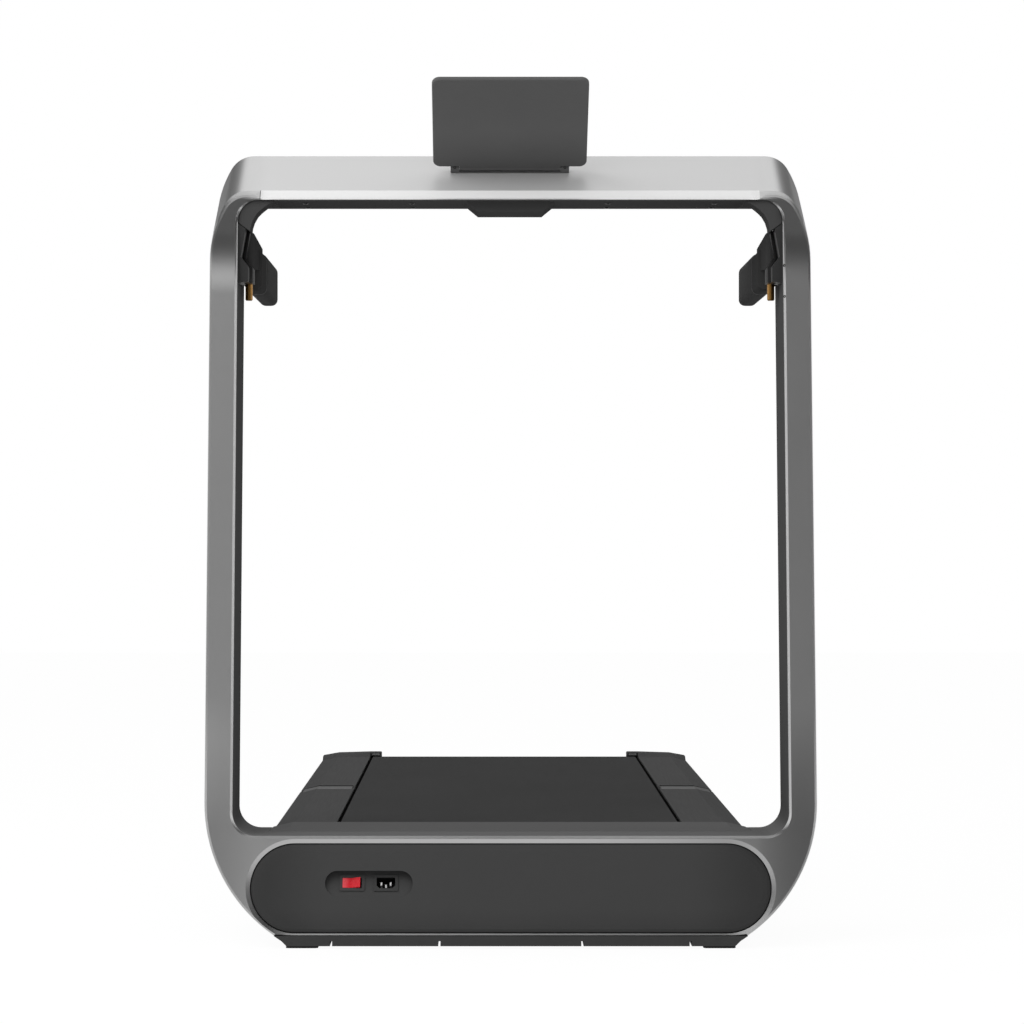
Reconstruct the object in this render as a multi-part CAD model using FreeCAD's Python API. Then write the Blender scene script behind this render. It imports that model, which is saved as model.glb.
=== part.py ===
import FreeCAD, Part
import math
import os

V = FreeCAD.Vector

# Overall sizes in mm: x to the right, y back from the foot of the loop, z up from the floor
LENGTH = 1420.0
WIDTH = 727.6

# Clearances between pieces
FIT = 0.3
RUN = 0.05
SLIP = 0.4

# Loop frame
LOOP_DEPTH = 105.0
UPRIGHT_WIDTH = 33.8
LEAN = 6.36
FRAME_BOTTOM = 15.0
OPENING_BOTTOM = 132.0
OPENING_TOP = 894.5
OPENING_LOW_R = 27.0
OPENING_HIGH_R = 25.0
OPENING_BEVEL = 3.2
LIP_HEIGHT = 6.7
LIP_DEEP = 10.0
LIP_FADE = 45.0
SLOPE_RISE = 61.2
LOW_CORNER_R = 190.0
LOW_CORNER_SWEEP = 56.0
HIGH_CORNER_R = 130.0
HIGH_CORNER_SWEEP = 30.0
NOSE_R = 32.0
FRAME_EDGE = 3.0
FRAME_WALL = 3.0
FRAME_SEAM = 185.0
CROSSBAR_IN = 30.0

# Base beam: front cover, electronics bay, covers, feet
COVER_SIDE = 55.2
COVER_R = 52.8
COVER_MID = 70.9
COVER_DEPTH = 13.7
COVER_CROWN = 4.5
COVER_CROWN_WIDE = 10.0
COVER_BEVEL = 5.0
COVER_BEVEL_DEPTH = 1.5
BAY_SIDE = 83.6
BAY_BOTTOM = 27.0
BAY_TOP = 114.0
BAY_DEPTH = 94.0
TOP_COVER_FRONT = 64.0
TOP_COVER_SIDE = 40.0
TOP_COVER_THICK = 3.0
TOP_COVER_OVERHANG = 3.0
PAN_BOTTOM = 3.0
PAN_FLARE = 9.0
PAN_TAPER = 6.0
NOTCH_IN = 84.5
NOTCH_SIDE = 151.4
NOTCH_WIDTH = 2.6
NOTCH_DEPTH = 120.0
FOOT_LENGTH = 54.0
FOOT_WIDTH = 38.0
FOOT_SIDE = 97.8
FOOT_FRONT = 5.0
FOOT_R = 4.0

# Sloped pocket in the front cover with the rocker switch and the mains inlet
POCKET_SIDE = 88.6
POCKET_WIDE = 104.0
POCKET_LOW = 62.0
POCKET_HIGH = 91.5
POCKET_DEEP = 13.0
POCKET_BACKING = 12.0
ROCKER_IN = 32.0
ROCKER_HALF = 10.6
ROCKER_TALL = 12.4
ROCKER_THROW = 18.0
ROCKER_PIN_R = 1.5
ROCKER_AXIS_DEEP = 2.0
ROCKER_RAISED = 3.2
ROCKER_HOLLOW = 1.4
ROCKER_BASE = 4.0
ROCKER_DRAFT = 1.5
INLET_IN = 32.0
INLET_WIDE = 22.0
INLET_TALL = 14.0
INLET_DEEP = 14.0
INSERT_WALL = 2.0
INSERT_FLANGE = 1.5
PIN_LONG = 10.0
PIN_HALF = 1.0
PIN_TALL_HALF = 2.0

# Controller in the bay
BOARD_THICK = 2.0
BOARD_SIDE = 45.0
BOARD_WIDE = 60.0
STANDOFF = 4.0
STANDOFF_R = 3.0
SINK_TALL = 34.0
SINK_LONG = 80.0
FIN_COUNT = 8
FIN_THICK = 2.0

# Transport wheels in the back of the base beam
WHEEL_R = 19.0
WHEEL_WIDE = 22.0
WHEEL_SIDE = 113.8
WHEEL_LIFT = 2.0
WHEEL_INSET = 22.0
WHEEL_AXLE_R = 4.0
WELL_GAP = 3.0

# Console in the top crossbar
CAVITY_SIDE = 15.0
CAVITY_FRONT = 10.0
CONSOLE_WALL = 5.0
CAVITY_ROOF = 4.0
CONSOLE_PLATE = 3.0
HUMP_HALF = 54.0
HUMP_FOOT_HALF = 39.5
HUMP_DEEP = 12.0
DISPLAY_HALF = 105.0
DISPLAY_TALL = 40.0
DISPLAY_THICK = 2.0
DISPLAY_LOW = 15.0
KNOB_X = 160.0
KNOB_R = 15.0
KNOB_TALL = 8.5
KNOB_SHAFT_R = 3.0
KNOB_SHAFT = 9.0
KNOB_FLUTES = 16
KEY_X = -160.0
KEY_TONGUE_WIDE = 18.0
KEY_TONGUE_THICK = 6.0
KEY_TONGUE = 14.0
KEY_GRIP_WIDE = 26.0
KEY_GRIP_TALL = 16.0
KEY_GRIP_THICK = 7.0
SOCKET_MARGIN = 5.0
SOCKET_THICK = 3.0

# Tablet plate on the slope
TABLET_WIDE = 188.6
TABLET_LONG = 148.2
TABLET_THICK = 6.0
TABLET_R = 9.5
TABLET_LEAN = 50.4
TABLET_DEPTH = 60.0
TABLET_BARREL_R = 3.6
TABLET_PIN_R = 1.8
TABLET_BARREL_HALF = 62.0
TABLET_BASE_HALF = 73.0
TABLET_BASE_LONG = 10.0
TABLET_BASE_THICK = 1.0
PAD_HALF = 75.0
PAD_TALL = 8.0
PAD_THICK = 1.5
PAD_INSET = 22.0

# Handlebars that swing inward
HANDLE_DROP = 52.5
HANDLE_TALL = 50.5
HANDLE_GAP = 1.5
HANDLE_WIDE = 22.5
HANDLE_R = 8.0
HANDLE_REACH = 305.0
HANDLE_PIN_IN = 9.5
HANDLE_PIN_DEPTH = 58.5
HANDLE_PIN_R = 4.5
HANDLE_PIN_DROP = 20.0
KNUCKLE_R = 7.0
KNUCKLE_DROP = 34.5
KNUCKLE_TALL = 64.0
KNUCKLE_FIXED = 18.0
BRACKET_PLATE = 2.0
BRACKET_AHEAD = 48.0
BRACKET_BEHIND = 11.0
BRACKET_DROP = 28.5
BRACKET_TALL = 72.0
BLOCK_BEHIND = 8.5
BLOCK_WIDE = 12.0
BLOCK_NECK = 3.0
BLOCK_TOP_WIDE = 9.0
BLOCK_STEP = 12.0
HANDLE_START = 16.0
HANDLE_NECK = 30.0
GRIP_LONG = 205.0
GRIP_THICK = 2.2

# Hinge that the deck lifts on
HINGE_Z = 118.0
HINGE_BACK = 21.3
HINGE_PIN_R = 5.0
HINGE_BOSS_R = 8.5
LUG_GAP = 2.0
LUG_THICK = 15.0
LUG_LOW = 50.0
LUG_HIGH = 127.0
PIN_HEAD = 3.0
PIN_HEAD_R = 8.0

# Deck
DECK_SIDE = 35.0
DECK_AHEAD = 11.5
RAIL_TOP = 125.0
RAIL_BOTTOM = 40.0
RAIL_WALL = 3.0
SHOULDER_WIDE = 25.0
SHOULDER_DROP = 6.0
KEEL_WIDE = 7.0
KEEL_TALL = 12.0
RAIL_WIDE = 77.0
BELT_SIDE_GAP = 3.0
BELT_DROP = 0.5
BELT_THICK = 2.0
DECK_BOARD_THICK = 12.0
CROSS_BAR_WIDE = 30.0
CROSS_BAR_THICK = 10.0
CROSS_BAR_COUNT = 3
CROSS_BAR_FROM_ROLLER = 90.0
CROSS_BAR_FROM_FOLD = 180.0
MOTOR_COVER_LONG = 87.0
MOTOR_COVER_RISE = 4.5
MOTOR_COVER_WALL = 3.0
MOTOR_COVER_LOW = 60.0
COVER_EDGE_R = 2.0
BELLY_TOP = 35.0
BELLY_THICK = 3.0
SIDE_PLATE_IN = 45.0
SIDE_PLATE_THICK = 6.0
ROLLER_R = 18.0
ROLLER_SHELL = 4.0
ROLLER_BACK = 24.5
ROLLER_PLUG = 12.0
AXLE_R = 6.0
PULLEY_R = 17.0
PULLEY_WIDE = 14.0
PULLEY_OUT = 15.0
MOTOR_R = 26.0
MOTOR_AHEAD = 30.5
MOTOR_IN = 43.0
MOTOR_LONG = 170.0
MOTOR_SHELL = 4.0
MOTOR_SHAFT_R = 4.0
MOTOR_PULLEY_R = 8.0
SADDLE_TALL = 6.0
SADDLE_WIDE = 15.0
DRIVE_BELT_THICK = 1.5
DRIVE_BELT_WIDE = 10.0
IDLER_R = 9.0
IDLER_BACK = 45.0
IDLER_PIN_R = 4.0
LOWER_RUN_DROP = 17.0
DECK_FOOT_TOP = 50.0
DECK_FOOT_SOLE = 40.0
DECK_FOOT_INSET = 85.0

# Double hinge where the deck folds in half
FOLD_DROP = 12.0
FOLD_CLEAR = 2.0
FOLDED_BACK = 13.5
LINK_SHORT = 0.5
FOLD_PIN_R = 4.0

# Rear end
CAP_LONG = 48.0
CAP_RISE = 6.0
CAP_RAMP = 14.0
CAP_ROUND = 5.0
CAP_HOOK = 18.0
CAP_HOOK_THICK = 5.2
CAP_SKIRT_GAP = 2.0
ROLLER_INSET = 34.0
AXLE_WALL = 12.0
BOLT_R = 3.0
BOLT_HEAD_R = 5.0
BOLT_HEAD = 4.0
GUIDE_WIDE = 12.0
GUIDE_TALL = 3.0
GUIDE_THICK = 2.0


def sind(degrees):
    return math.sin(math.radians(degrees))


def cosd(degrees):
    return math.cos(math.radians(degrees))


def along(height):
    """Distance up the leaning plane to a height above the floor."""
    return height / cosd(LEAN)


def front_y(height):
    """Depth of the loop's front plane at a height."""
    return height * math.tan(math.radians(LEAN))


def rear_y(height):
    """Depth of the loop's back plane at a height."""
    return front_y(height) + LOOP_DEPTH


def slope_z(depth):
    """Height of the crossbar's sloping top at a depth behind the front plane."""
    return OPENING_TOP + LIP_HEIGHT + SLOPE_RISE * depth / LOOP_DEPTH


# Places worked out from the sizes above
HALF = WIDTH / 2
OPENING_HALF = HALF - UPRIGHT_WIDTH
CROSSBAR_HALF = OPENING_HALF - CROSSBAR_IN
CAVITY_HALF = CROSSBAR_HALF - CAVITY_SIDE
COVER_HALF = HALF - COVER_SIDE
BAY_HALF = COVER_HALF - BAY_SIDE
BOARD_LONG = BAY_HALF - BOARD_SIDE
TOP_COVER_HALF = OPENING_HALF - TOP_COVER_SIDE
FOOT_OUTER = HALF - FOOT_SIDE
WHEEL_X = HALF - WHEEL_SIDE
POCKET_LEFT = POCKET_SIDE - COVER_HALF
POCKET_RIGHT = POCKET_LEFT + POCKET_WIDE
ROCKER_X = POCKET_LEFT + ROCKER_IN
INLET_X = POCKET_RIGHT - INLET_IN
HANDLE_OUT = OPENING_HALF - HANDLE_GAP
HANDLE_IN = HANDLE_OUT - HANDLE_WIDE
HANDLE_PIN_X = OPENING_HALF - HANDLE_PIN_IN
DECK_HALF = OPENING_HALF - DECK_SIDE
RAIL_IN = DECK_HALF - RAIL_WIDE
BELT_HALF = RAIL_IN - BELT_SIDE_GAP
LUG_IN = DECK_HALF + LUG_GAP
SIDE_PLATE_X = DECK_HALF - SIDE_PLATE_IN
PULLEY_X = -RAIL_IN - PULLEY_OUT
MOTOR_LEFT = PULLEY_X + MOTOR_IN
HINGE_Y = rear_y(HINGE_Z) + HINGE_BACK
DECK_FRONT = HINGE_Y - DECK_AHEAD
MOTOR_COVER_BACK = DECK_FRONT + MOTOR_COVER_LONG
RAIL_FRONT = MOTOR_COVER_BACK + SLIP
SEAM_Y = (LENGTH + HINGE_Y + FOLDED_BACK) / 2
FOLD_Z = RAIL_TOP - FOLD_DROP
FOLD_HALF = FOLD_DROP + (MOTOR_COVER_RISE + CAP_RISE + FOLD_CLEAR) / 2
FOLD_FRONT_Y = SEAM_Y - FOLD_HALF
FOLD_REAR_Y = SEAM_Y + FOLD_HALF
BELT_TOP = RAIL_TOP - BELT_DROP
DECK_TOP = BELT_TOP - BELT_THICK - FIT
DECK_UNDER = DECK_TOP - DECK_BOARD_THICK
ROLLER_Z = DECK_TOP - ROLLER_R
FRONT_ROLLER_Y = MOTOR_COVER_BACK - ROLLER_BACK
REAR_ROLLER_Y = LENGTH - ROLLER_INSET
BELT_END = math.sqrt((FOLD_HALF - SLIP) ** 2 - (FOLD_DROP - BELT_DROP) ** 2)
LOWER_RUN_Z = FOLD_Z - LOWER_RUN_DROP
IDLER_Z = LOWER_RUN_Z - FIT - IDLER_R
RAIL_BACK = LENGTH - CAP_LONG
MOTOR_Y = DECK_FRONT + MOTOR_AHEAD
MOTOR_Z = BELLY_TOP + BELLY_THICK + MOTOR_R
HANDLE_HIGH = OPENING_TOP - HANDLE_DROP
HANDLE_LOW = HANDLE_HIGH - HANDLE_TALL
KNUCKLE_HIGH = OPENING_TOP - KNUCKLE_DROP
KNUCKLE_LOW = KNUCKLE_HIGH - KNUCKLE_TALL
KNUCKLE_MID = KNUCKLE_LOW + KNUCKLE_FIXED
BRACKET_HIGH = OPENING_TOP - BRACKET_DROP
BRACKET_LOW = BRACKET_HIGH - BRACKET_TALL
HANDLE_PIN_Y = front_y((HANDLE_LOW + HANDLE_HIGH) / 2) + HANDLE_PIN_DEPTH
SLOPE = math.degrees(math.atan2(SLOPE_RISE, LOOP_DEPTH + front_y(SLOPE_RISE)))
TABLET_BASE = V(0, front_y(slope_z(TABLET_DEPTH)) + TABLET_DEPTH, slope_z(TABLET_DEPTH))
TABLET_AXIS_UP = TABLET_BASE_THICK + SLIP + TABLET_BARREL_R
TABLET_AXIS = TABLET_BASE + V(0, -sind(SLOPE), cosd(SLOPE)) * TABLET_AXIS_UP
POCKET_TILT = math.degrees(math.atan2(POCKET_DEEP, POCKET_HIGH - POCKET_LOW))
POCKET_MID = V(0, POCKET_DEEP / 2, (POCKET_LOW + POCKET_HIGH) / 2)
WHEEL_Y = rear_y(WHEEL_R) - WHEEL_INSET
WHEEL_Z = WHEEL_R + WHEEL_LIFT
KEY_Z = along((OPENING_TOP + slope_z(LOOP_DEPTH)) / 2)


def bend(cx, cz, r, start, end):
    """Start, middle and end of an arc in the drawing plane, angles in degrees."""
    return [V(cx + r * cosd(a), 0, cz + r * sind(a)) for a in (start, (start + end) / 2, end)]


def corner(x, z):
    """A sharp corner of an outline."""
    return [V(x, 0, z)]


def flipped(stretches):
    """The same stretches of an outline on the other side of x = 0, still in order."""
    return [[V(-p.x, p.y, p.z) for p in reversed(s)] for s in reversed(stretches)]


def outline(stretches):
    """Closed wire through arcs and corners in order, with straight lines between them."""
    edges = []
    for stretch, following in zip(stretches, stretches[1:] + stretches[:1]):
        if len(stretch) == 3:
            edges.append(Part.Arc(*stretch).toShape())
        if stretch[-1].distanceToPoint(following[0]) > 1e-6:
            edges.append(Part.makeLine(stretch[-1], following[0]))
    return Part.Wire(edges)


def rounded(x0, x1, z0, z1, r):
    """Rectangle with round corners."""
    return [
        bend(x1 - r, z0 + r, r, -90, 0),
        bend(x1 - r, z1 - r, r, 0, 90),
        bend(x0 + r, z1 - r, r, 90, 180),
        bend(x0 + r, z0 + r, r, 180, 270),
    ]


def deep(stretches, y0, y1):
    """Solid with its outline in the front view, from one depth to another."""
    solid = Part.Face(outline(stretches)).extrude(V(0, y1 - y0, 0))
    solid.translate(V(0, y0, 0))
    return solid


def across(stretches, x0, x1):
    """Solid with its outline in the side view (y, z), from one x to another."""
    solid = deep(stretches, -x0, -x1)
    solid.rotate(V(0, 0, 0), V(0, 0, 1), 90)
    return solid


def tall(stretches, z0, z1):
    """Solid with its outline in the top view (x, y), from one height to another."""
    solid = deep(stretches, -z0, -z1)
    solid.rotate(V(0, 0, 0), V(1, 0, 0), -90)
    return solid


def box(x0, x1, y0, y1, z0, z1):
    return Part.makeBox(x1 - x0, y1 - y0, z1 - z0, V(x0, y0, z0))


def rod(r, x0, x1, y, z):
    """Round bar across the machine."""
    return Part.makeCylinder(r, x1 - x0, V(x0, y, z), V(1, 0, 0))


def post(r, z0, z1, x, y):
    """Upright round bar."""
    return Part.makeCylinder(r, z1 - z0, V(x, y, z0), V(0, 0, 1))


def mirrored(shape):
    """The same piece on the other side of the machine."""
    return shape.mirror(V(0, 0, 0), V(1, 0, 0))


def pair(shape):
    """A piece and its mirror image, as separate solids."""
    return Part.makeCompound([shape, mirrored(shape)])


def lean(shape, back=0.0):
    """Tip a shape drawn upright into the loop's plane, then push it back."""
    tipped = shape.copy()
    tipped.rotate(V(0, 0, 0), V(1, 0, 0), -LEAN)
    tipped.translate(V(0, back, 0))
    return tipped


def slab(y0, y1, z0, z1, x0, x1):
    """Block that leans with the loop, depths measured from the front plane."""
    low, high = front_y(z0), front_y(z1)
    sides = [corner(low + y0, z0), corner(low + y1, z0), corner(high + y1, z1), corner(high + y0, z1)]
    return across(sides, x0, x1)


def on_pocket(shape, x):
    """Put a piece drawn upright about the origin onto the sloped floor of the pocket."""
    placed = shape.copy()
    placed.rotate(V(0, 0, 0), V(1, 0, 0), -POCKET_TILT)
    placed.translate(POCKET_MID + V(x, 0, 0))
    return lean(placed)


def loop_outline(depth, inset):
    """Outer outline of the loop at one depth, set in all round."""
    sweep = HIGH_CORNER_SWEEP
    low_z = along(FRAME_BOTTOM) + LOW_CORNER_R * sind(LOW_CORNER_SWEEP)
    nose_x = HALF - HIGH_CORNER_R * (1 - cosd(sweep)) - NOSE_R * cosd(sweep)
    nose_z = along(slope_z(depth)) - NOSE_R
    high_z = nose_z + (NOSE_R - HIGH_CORNER_R) * sind(sweep)
    right = [
        bend(HALF - LOW_CORNER_R, low_z, LOW_CORNER_R - inset, -LOW_CORNER_SWEEP, 0),
        bend(HALF - HIGH_CORNER_R, high_z, HIGH_CORNER_R - inset, 0, sweep),
        bend(nose_x, nose_z, NOSE_R - inset, sweep, 90),
    ]
    return lean(outline(right + flipped(right)), depth)


def opening_outline(grow):
    """Inner outline of the loop, grown at the sides and the bottom."""
    half = OPENING_HALF + grow
    low = along(OPENING_BOTTOM) - grow
    high = along(OPENING_TOP)
    low_r = OPENING_LOW_R + grow
    right = [
        bend(half - low_r, low + low_r, low_r, -90, 0),
        bend(half - OPENING_HIGH_R, high - OPENING_HIGH_R, OPENING_HIGH_R, 0, 90),
    ]
    return outline(right + flipped(right))


def loop_solid():
    """The whole loop with rounded outer edges and a bevel round the front of its opening."""
    turns = (0, 45, 90)
    rounding = [(FRAME_EDGE * (1 - cosd(t)), FRAME_EDGE * (1 - sind(t))) for t in turns]
    front = [loop_outline(d, inset) for d, inset in rounding]
    back = [loop_outline(LOOP_DEPTH - d, inset) for d, inset in reversed(rounding)]
    solid = Part.makeLoft(front + back, True, True)
    through = Part.Face(lean(opening_outline(0), -1)).extrude(V(0, LOOP_DEPTH + 2, 0))
    bevel_ends = [lean(opening_outline(OPENING_BEVEL + 1), -1), lean(opening_outline(0), OPENING_BEVEL)]
    solid = solid.cut(through).cut(Part.makeLoft(bevel_ends, True, True))
    for room in lip_room():
        solid = solid.cut(room)
    return solid


def lip_room():
    """What is taken off along the crossbar's front edge to leave a sloped lip that fades out in the corners."""
    low, high = OPENING_TOP + FIT, slope_z(LIP_DEEP)
    start, end = front_y(low), front_y(high) + LIP_DEEP
    over = high + LIP_DEEP
    sides = [
        corner(start, low),
        corner(end, high),
        corner(end, over),
        corner(start - LIP_DEEP, over),
        corner(start - LIP_DEEP, low),
    ]
    straight = across(sides, -CROSSBAR_HALF, CROSSBAR_HALF)
    section = outline(sides)
    section.rotate(V(0, 0, 0), V(0, 0, 1), 90)
    near, far = section.copy(), section.copy()
    near.translate(V(CROSSBAR_HALF, 0, 0))
    far.translate(V(CROSSBAR_HALF + LIP_FADE, -2 * LIP_DEEP, 0))
    fade = Part.makeLoft([near, far], True, True)
    return [straight, fade, mirrored(fade)]


def crossbar_zone():
    """Room taken by the crossbar between the two upper corners."""
    return box(-CROSSBAR_HALF, CROSSBAR_HALF, 0, LENGTH, OPENING_TOP - HUMP_DEEP, LENGTH)


def stadium(grow, depth):
    """Outline of the front cover, grown or set in, at one depth."""
    straight = COVER_HALF - COVER_R
    right = [bend(straight, COVER_MID, COVER_R + grow, -90, 90)]
    wire = outline(right + flipped(right))
    wire.translate(V(0, depth, 0))
    return wire


def make_lower_frame(loop):
    frame = loop.common(box(-HALF, HALF, -LOOP_DEPTH, 2 * LOOP_DEPTH, 0, FRAME_SEAM))
    seat = Part.Face(stadium(FIT, -1)).extrude(V(0, COVER_DEPTH + FIT + 1, 0))
    steps = [stadium(FIT + COVER_BEVEL, 0), stadium(FIT, COVER_BEVEL_DEPTH)]
    bay = box(-BAY_HALF, BAY_HALF, COVER_DEPTH, BAY_DEPTH, BAY_BOTTOM, BAY_TOP)
    frame = frame.cut(lean(seat)).cut(lean(Part.makeLoft(steps, True, True))).cut(lean(bay))
    half = TOP_COVER_HALF + FIT
    ledge = OPENING_BOTTOM - TOP_COVER_THICK
    frame = frame.cut(box(-half, half, TOP_COVER_FRONT - FIT, LENGTH, ledge, OPENING_BOTTOM + 1))
    for side in (wheel_well(), mirrored(wheel_well())):
        frame = frame.cut(side)
    axle_holes = pair(wheel_axle(WHEEL_AXLE_R + RUN, 1))
    return frame.cut(axle_holes)


def make_upright(loop):
    """Right upright: a hollow tube up to its rounded corner."""
    upright = loop.common(box(0, HALF, 0, LENGTH, FRAME_SEAM, LENGTH)).cut(crossbar_zone())
    top = OPENING_TOP + LIP_HEIGHT - HIGH_CORNER_R
    inside = (FRAME_WALL, LOOP_DEPTH - FRAME_WALL, FRAME_SEAM - 1, top)
    return upright.cut(slab(*inside, OPENING_HALF + FRAME_WALL, HALF - FRAME_WALL))


def make_top_crossbar(loop):
    bar = loop.common(crossbar_zone())
    bar = bar.cut(console_cavity())
    bar = bar.cut(display_plate(FIT, DISPLAY_THICK))
    bar = bar.cut(key_plate(FIT, SOCKET_THICK))
    bar = bar.cut(key_tongue(FIT))
    return bar.cut(knob_bore(KNOB_SHAFT_R + RUN))


def console_cavity():
    """Hollow of the crossbar, open at the bottom."""
    back = LOOP_DEPTH - CONSOLE_WALL
    front_top = slope_z(CAVITY_FRONT) - CAVITY_ROOF
    back_top = slope_z(back) - CAVITY_ROOF
    low = OPENING_TOP - 1
    sides = [
        corner(front_y(low) + CAVITY_FRONT, low),
        corner(front_y(low) + back, low),
        corner(front_y(back_top) + back, back_top),
        corner(front_y(front_top) + CAVITY_FRONT, front_top),
    ]
    return across(sides, -CAVITY_HALF, CAVITY_HALF)


def display_plate(grow, thick):
    low = OPENING_TOP + DISPLAY_LOW
    back = LOOP_DEPTH + grow
    half = DISPLAY_HALF + grow
    return slab(LOOP_DEPTH - thick, back, low - grow, low + DISPLAY_TALL + grow, -half, half)


def key_plate(grow, thick):
    """Plate of the key socket, flush with the back of the crossbar."""
    half = KEY_GRIP_WIDE / 2 + SOCKET_MARGIN + grow
    tall_half = KEY_GRIP_TALL / 2 + SOCKET_MARGIN + grow
    plate = box(KEY_X - half, KEY_X + half, -thick, grow, KEY_Z - tall_half, KEY_Z + tall_half)
    return lean(plate, LOOP_DEPTH)


def key_tongue(grow):
    half = KEY_TONGUE_WIDE / 2 + grow
    thick = KEY_TONGUE_THICK / 2 + grow
    tongue = box(KEY_X - half, KEY_X + half, -KEY_TONGUE - grow, SLIP, KEY_Z - thick, KEY_Z + thick)
    return lean(tongue, LOOP_DEPTH)


def knob_bore(r):
    shaft = Part.makeCylinder(r, KNOB_SHAFT + 1, V(KNOB_X, -KNOB_SHAFT, KEY_Z), V(0, 1, 0))
    return lean(shaft, LOOP_DEPTH)


def make_front_cover():
    """Crowned stadium cover with a thick backing behind its sloped pocket."""
    sections = []
    for turn in (0, 30, 60, 90):
        sections.append(stadium(COVER_CROWN_WIDE * (sind(turn) - 1), COVER_CROWN * (1 - cosd(turn))))
    cover = Part.makeLoft(sections + [stadium(0, COVER_DEPTH)], True, True)
    edge = POCKET_BACKING / 2
    low, high = POCKET_LOW - edge, POCKET_HIGH + edge
    left, right = POCKET_LEFT + edge, POCKET_RIGHT + edge
    cover = cover.fuse(box(left, right, COVER_DEPTH - 1, COVER_DEPTH + POCKET_BACKING, low, high))
    wedge = [
        corner(0, POCKET_LOW),
        corner(POCKET_DEEP, POCKET_HIGH),
        corner(-1, POCKET_HIGH),
        corner(-1, POCKET_LOW),
    ]
    end_r = (POCKET_HIGH - POCKET_LOW) / 2
    mouth = deep(rounded(POCKET_LEFT, POCKET_RIGHT, POCKET_LOW, POCKET_HIGH, end_r), -1, POCKET_DEEP)
    cover = lean(cover.cut(across(wedge, POCKET_LEFT, POCKET_RIGHT).common(mouth)))
    cover = cover.cut(on_pocket(insert_body(bezel_half(), bezel_tall(), FIT), ROCKER_X))
    return cover.cut(on_pocket(insert_body(inlet_half(), inlet_tall(), FIT), INLET_X))


def bezel_half():
    """Half width of the switch frame, wide enough for the rocker's corners as it tips."""
    swing = (ROCKER_RAISED + ROCKER_AXIS_DEEP) * sind(ROCKER_THROW / 2)
    return ROCKER_HALF + swing + INSERT_WALL


def bezel_tall():
    return ROCKER_TALL / 2 + SLIP + INSERT_WALL


def inlet_half():
    return INLET_WIDE / 2 + INSERT_WALL


def inlet_tall():
    return INLET_TALL / 2 + INSERT_WALL


def insert_body(half, tall_half, grow):
    """Part of an insert that passes through the pocket's floor."""
    reach = INLET_DEEP + INSERT_WALL + grow
    return box(-half - grow, half + grow, -1, reach, -tall_half - grow, tall_half + grow)


def insert_shell(half, tall_half):
    """Insert with its flange on the pocket's floor."""
    edge = INSERT_FLANGE
    flange = deep(rounded(-half - edge, half + edge, -tall_half - edge, tall_half + edge, edge), -edge, 0)
    body = box(-half, half, 0, INLET_DEEP + INSERT_WALL, -tall_half, tall_half)
    return flange.fuse(body)


def make_switch_bezel():
    half = bezel_half() - INSERT_WALL
    tall_half = bezel_tall() - INSERT_WALL
    bezel = insert_shell(bezel_half(), bezel_tall())
    bezel = bezel.cut(box(-half, half, -INLET_DEEP, INLET_DEEP, -tall_half, tall_half))
    reach = bezel_tall() + 1
    return on_pocket(bezel.cut(post(ROCKER_PIN_R + RUN, -reach, reach, 0, ROCKER_AXIS_DEEP)), ROCKER_X)


def make_power_rocker():
    """Shallow V-faced rocker on two stub pins, stored tipped to its off side."""
    base = ROCKER_HALF - ROCKER_DRAFT
    faces = [
        corner(-base, ROCKER_BASE),
        corner(base, ROCKER_BASE),
        corner(ROCKER_HALF, -ROCKER_RAISED),
        corner(0, -ROCKER_HOLLOW),
        corner(-ROCKER_HALF, -ROCKER_RAISED),
    ]
    rocker = tall(faces, -ROCKER_TALL / 2, ROCKER_TALL / 2)
    reach = bezel_tall() - FIT
    rocker = rocker.fuse(post(ROCKER_PIN_R, -reach, reach, 0, ROCKER_AXIS_DEEP))
    rocker.rotate(V(0, ROCKER_AXIS_DEEP, 0), V(0, 0, 1), -ROCKER_THROW / 2)
    return on_pocket(rocker, ROCKER_X)


def make_power_inlet():
    half, tall_half = INLET_WIDE / 2, INLET_TALL / 2
    shell = insert_shell(inlet_half(), inlet_tall())
    chamfer = tall_half / 2
    socket = [
        corner(chamfer - half, -tall_half),
        corner(half - chamfer, -tall_half),
        corner(half, chamfer - tall_half),
        corner(half, tall_half),
        corner(-half, tall_half),
        corner(-half, chamfer - tall_half),
    ]
    return on_pocket(shell.cut(deep(socket, -INLET_DEEP, INLET_DEEP)), INLET_X)


def make_inlet_pins():
    """Three flat contact pins standing on the floor of the inlet."""
    pins = []
    for x, z in ((-INLET_WIDE / 4, PIN_HALF), (0, -PIN_TALL_HALF), (INLET_WIDE / 4, PIN_HALF)):
        pin = box(x - PIN_HALF, x + PIN_HALF, INLET_DEEP - PIN_LONG, INLET_DEEP, z - PIN_TALL_HALF,
                  z + PIN_TALL_HALF)
        pins.append(on_pocket(pin, INLET_X))
    return Part.makeCompound(pins)


def make_base_top_cover():
    """Dark plate let into the top of the beam, reaching back towards the deck."""
    back = rear_y(OPENING_BOTTOM) + TOP_COVER_OVERHANG
    low = OPENING_BOTTOM - TOP_COVER_THICK
    return box(-TOP_COVER_HALF, TOP_COVER_HALF, TOP_COVER_FRONT, back, low, OPENING_BOTTOM - FIT)


def pan_half(height):
    """Half width of the pan: it meets the frame's arc and draws in towards the floor."""
    top = HALF - LOW_CORNER_R * (1 - cosd(LOW_CORNER_SWEEP))
    if height >= FRAME_BOTTOM:
        return top
    return top - PAN_FLARE - (PAN_TAPER if height <= PAN_BOTTOM else 0)


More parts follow.
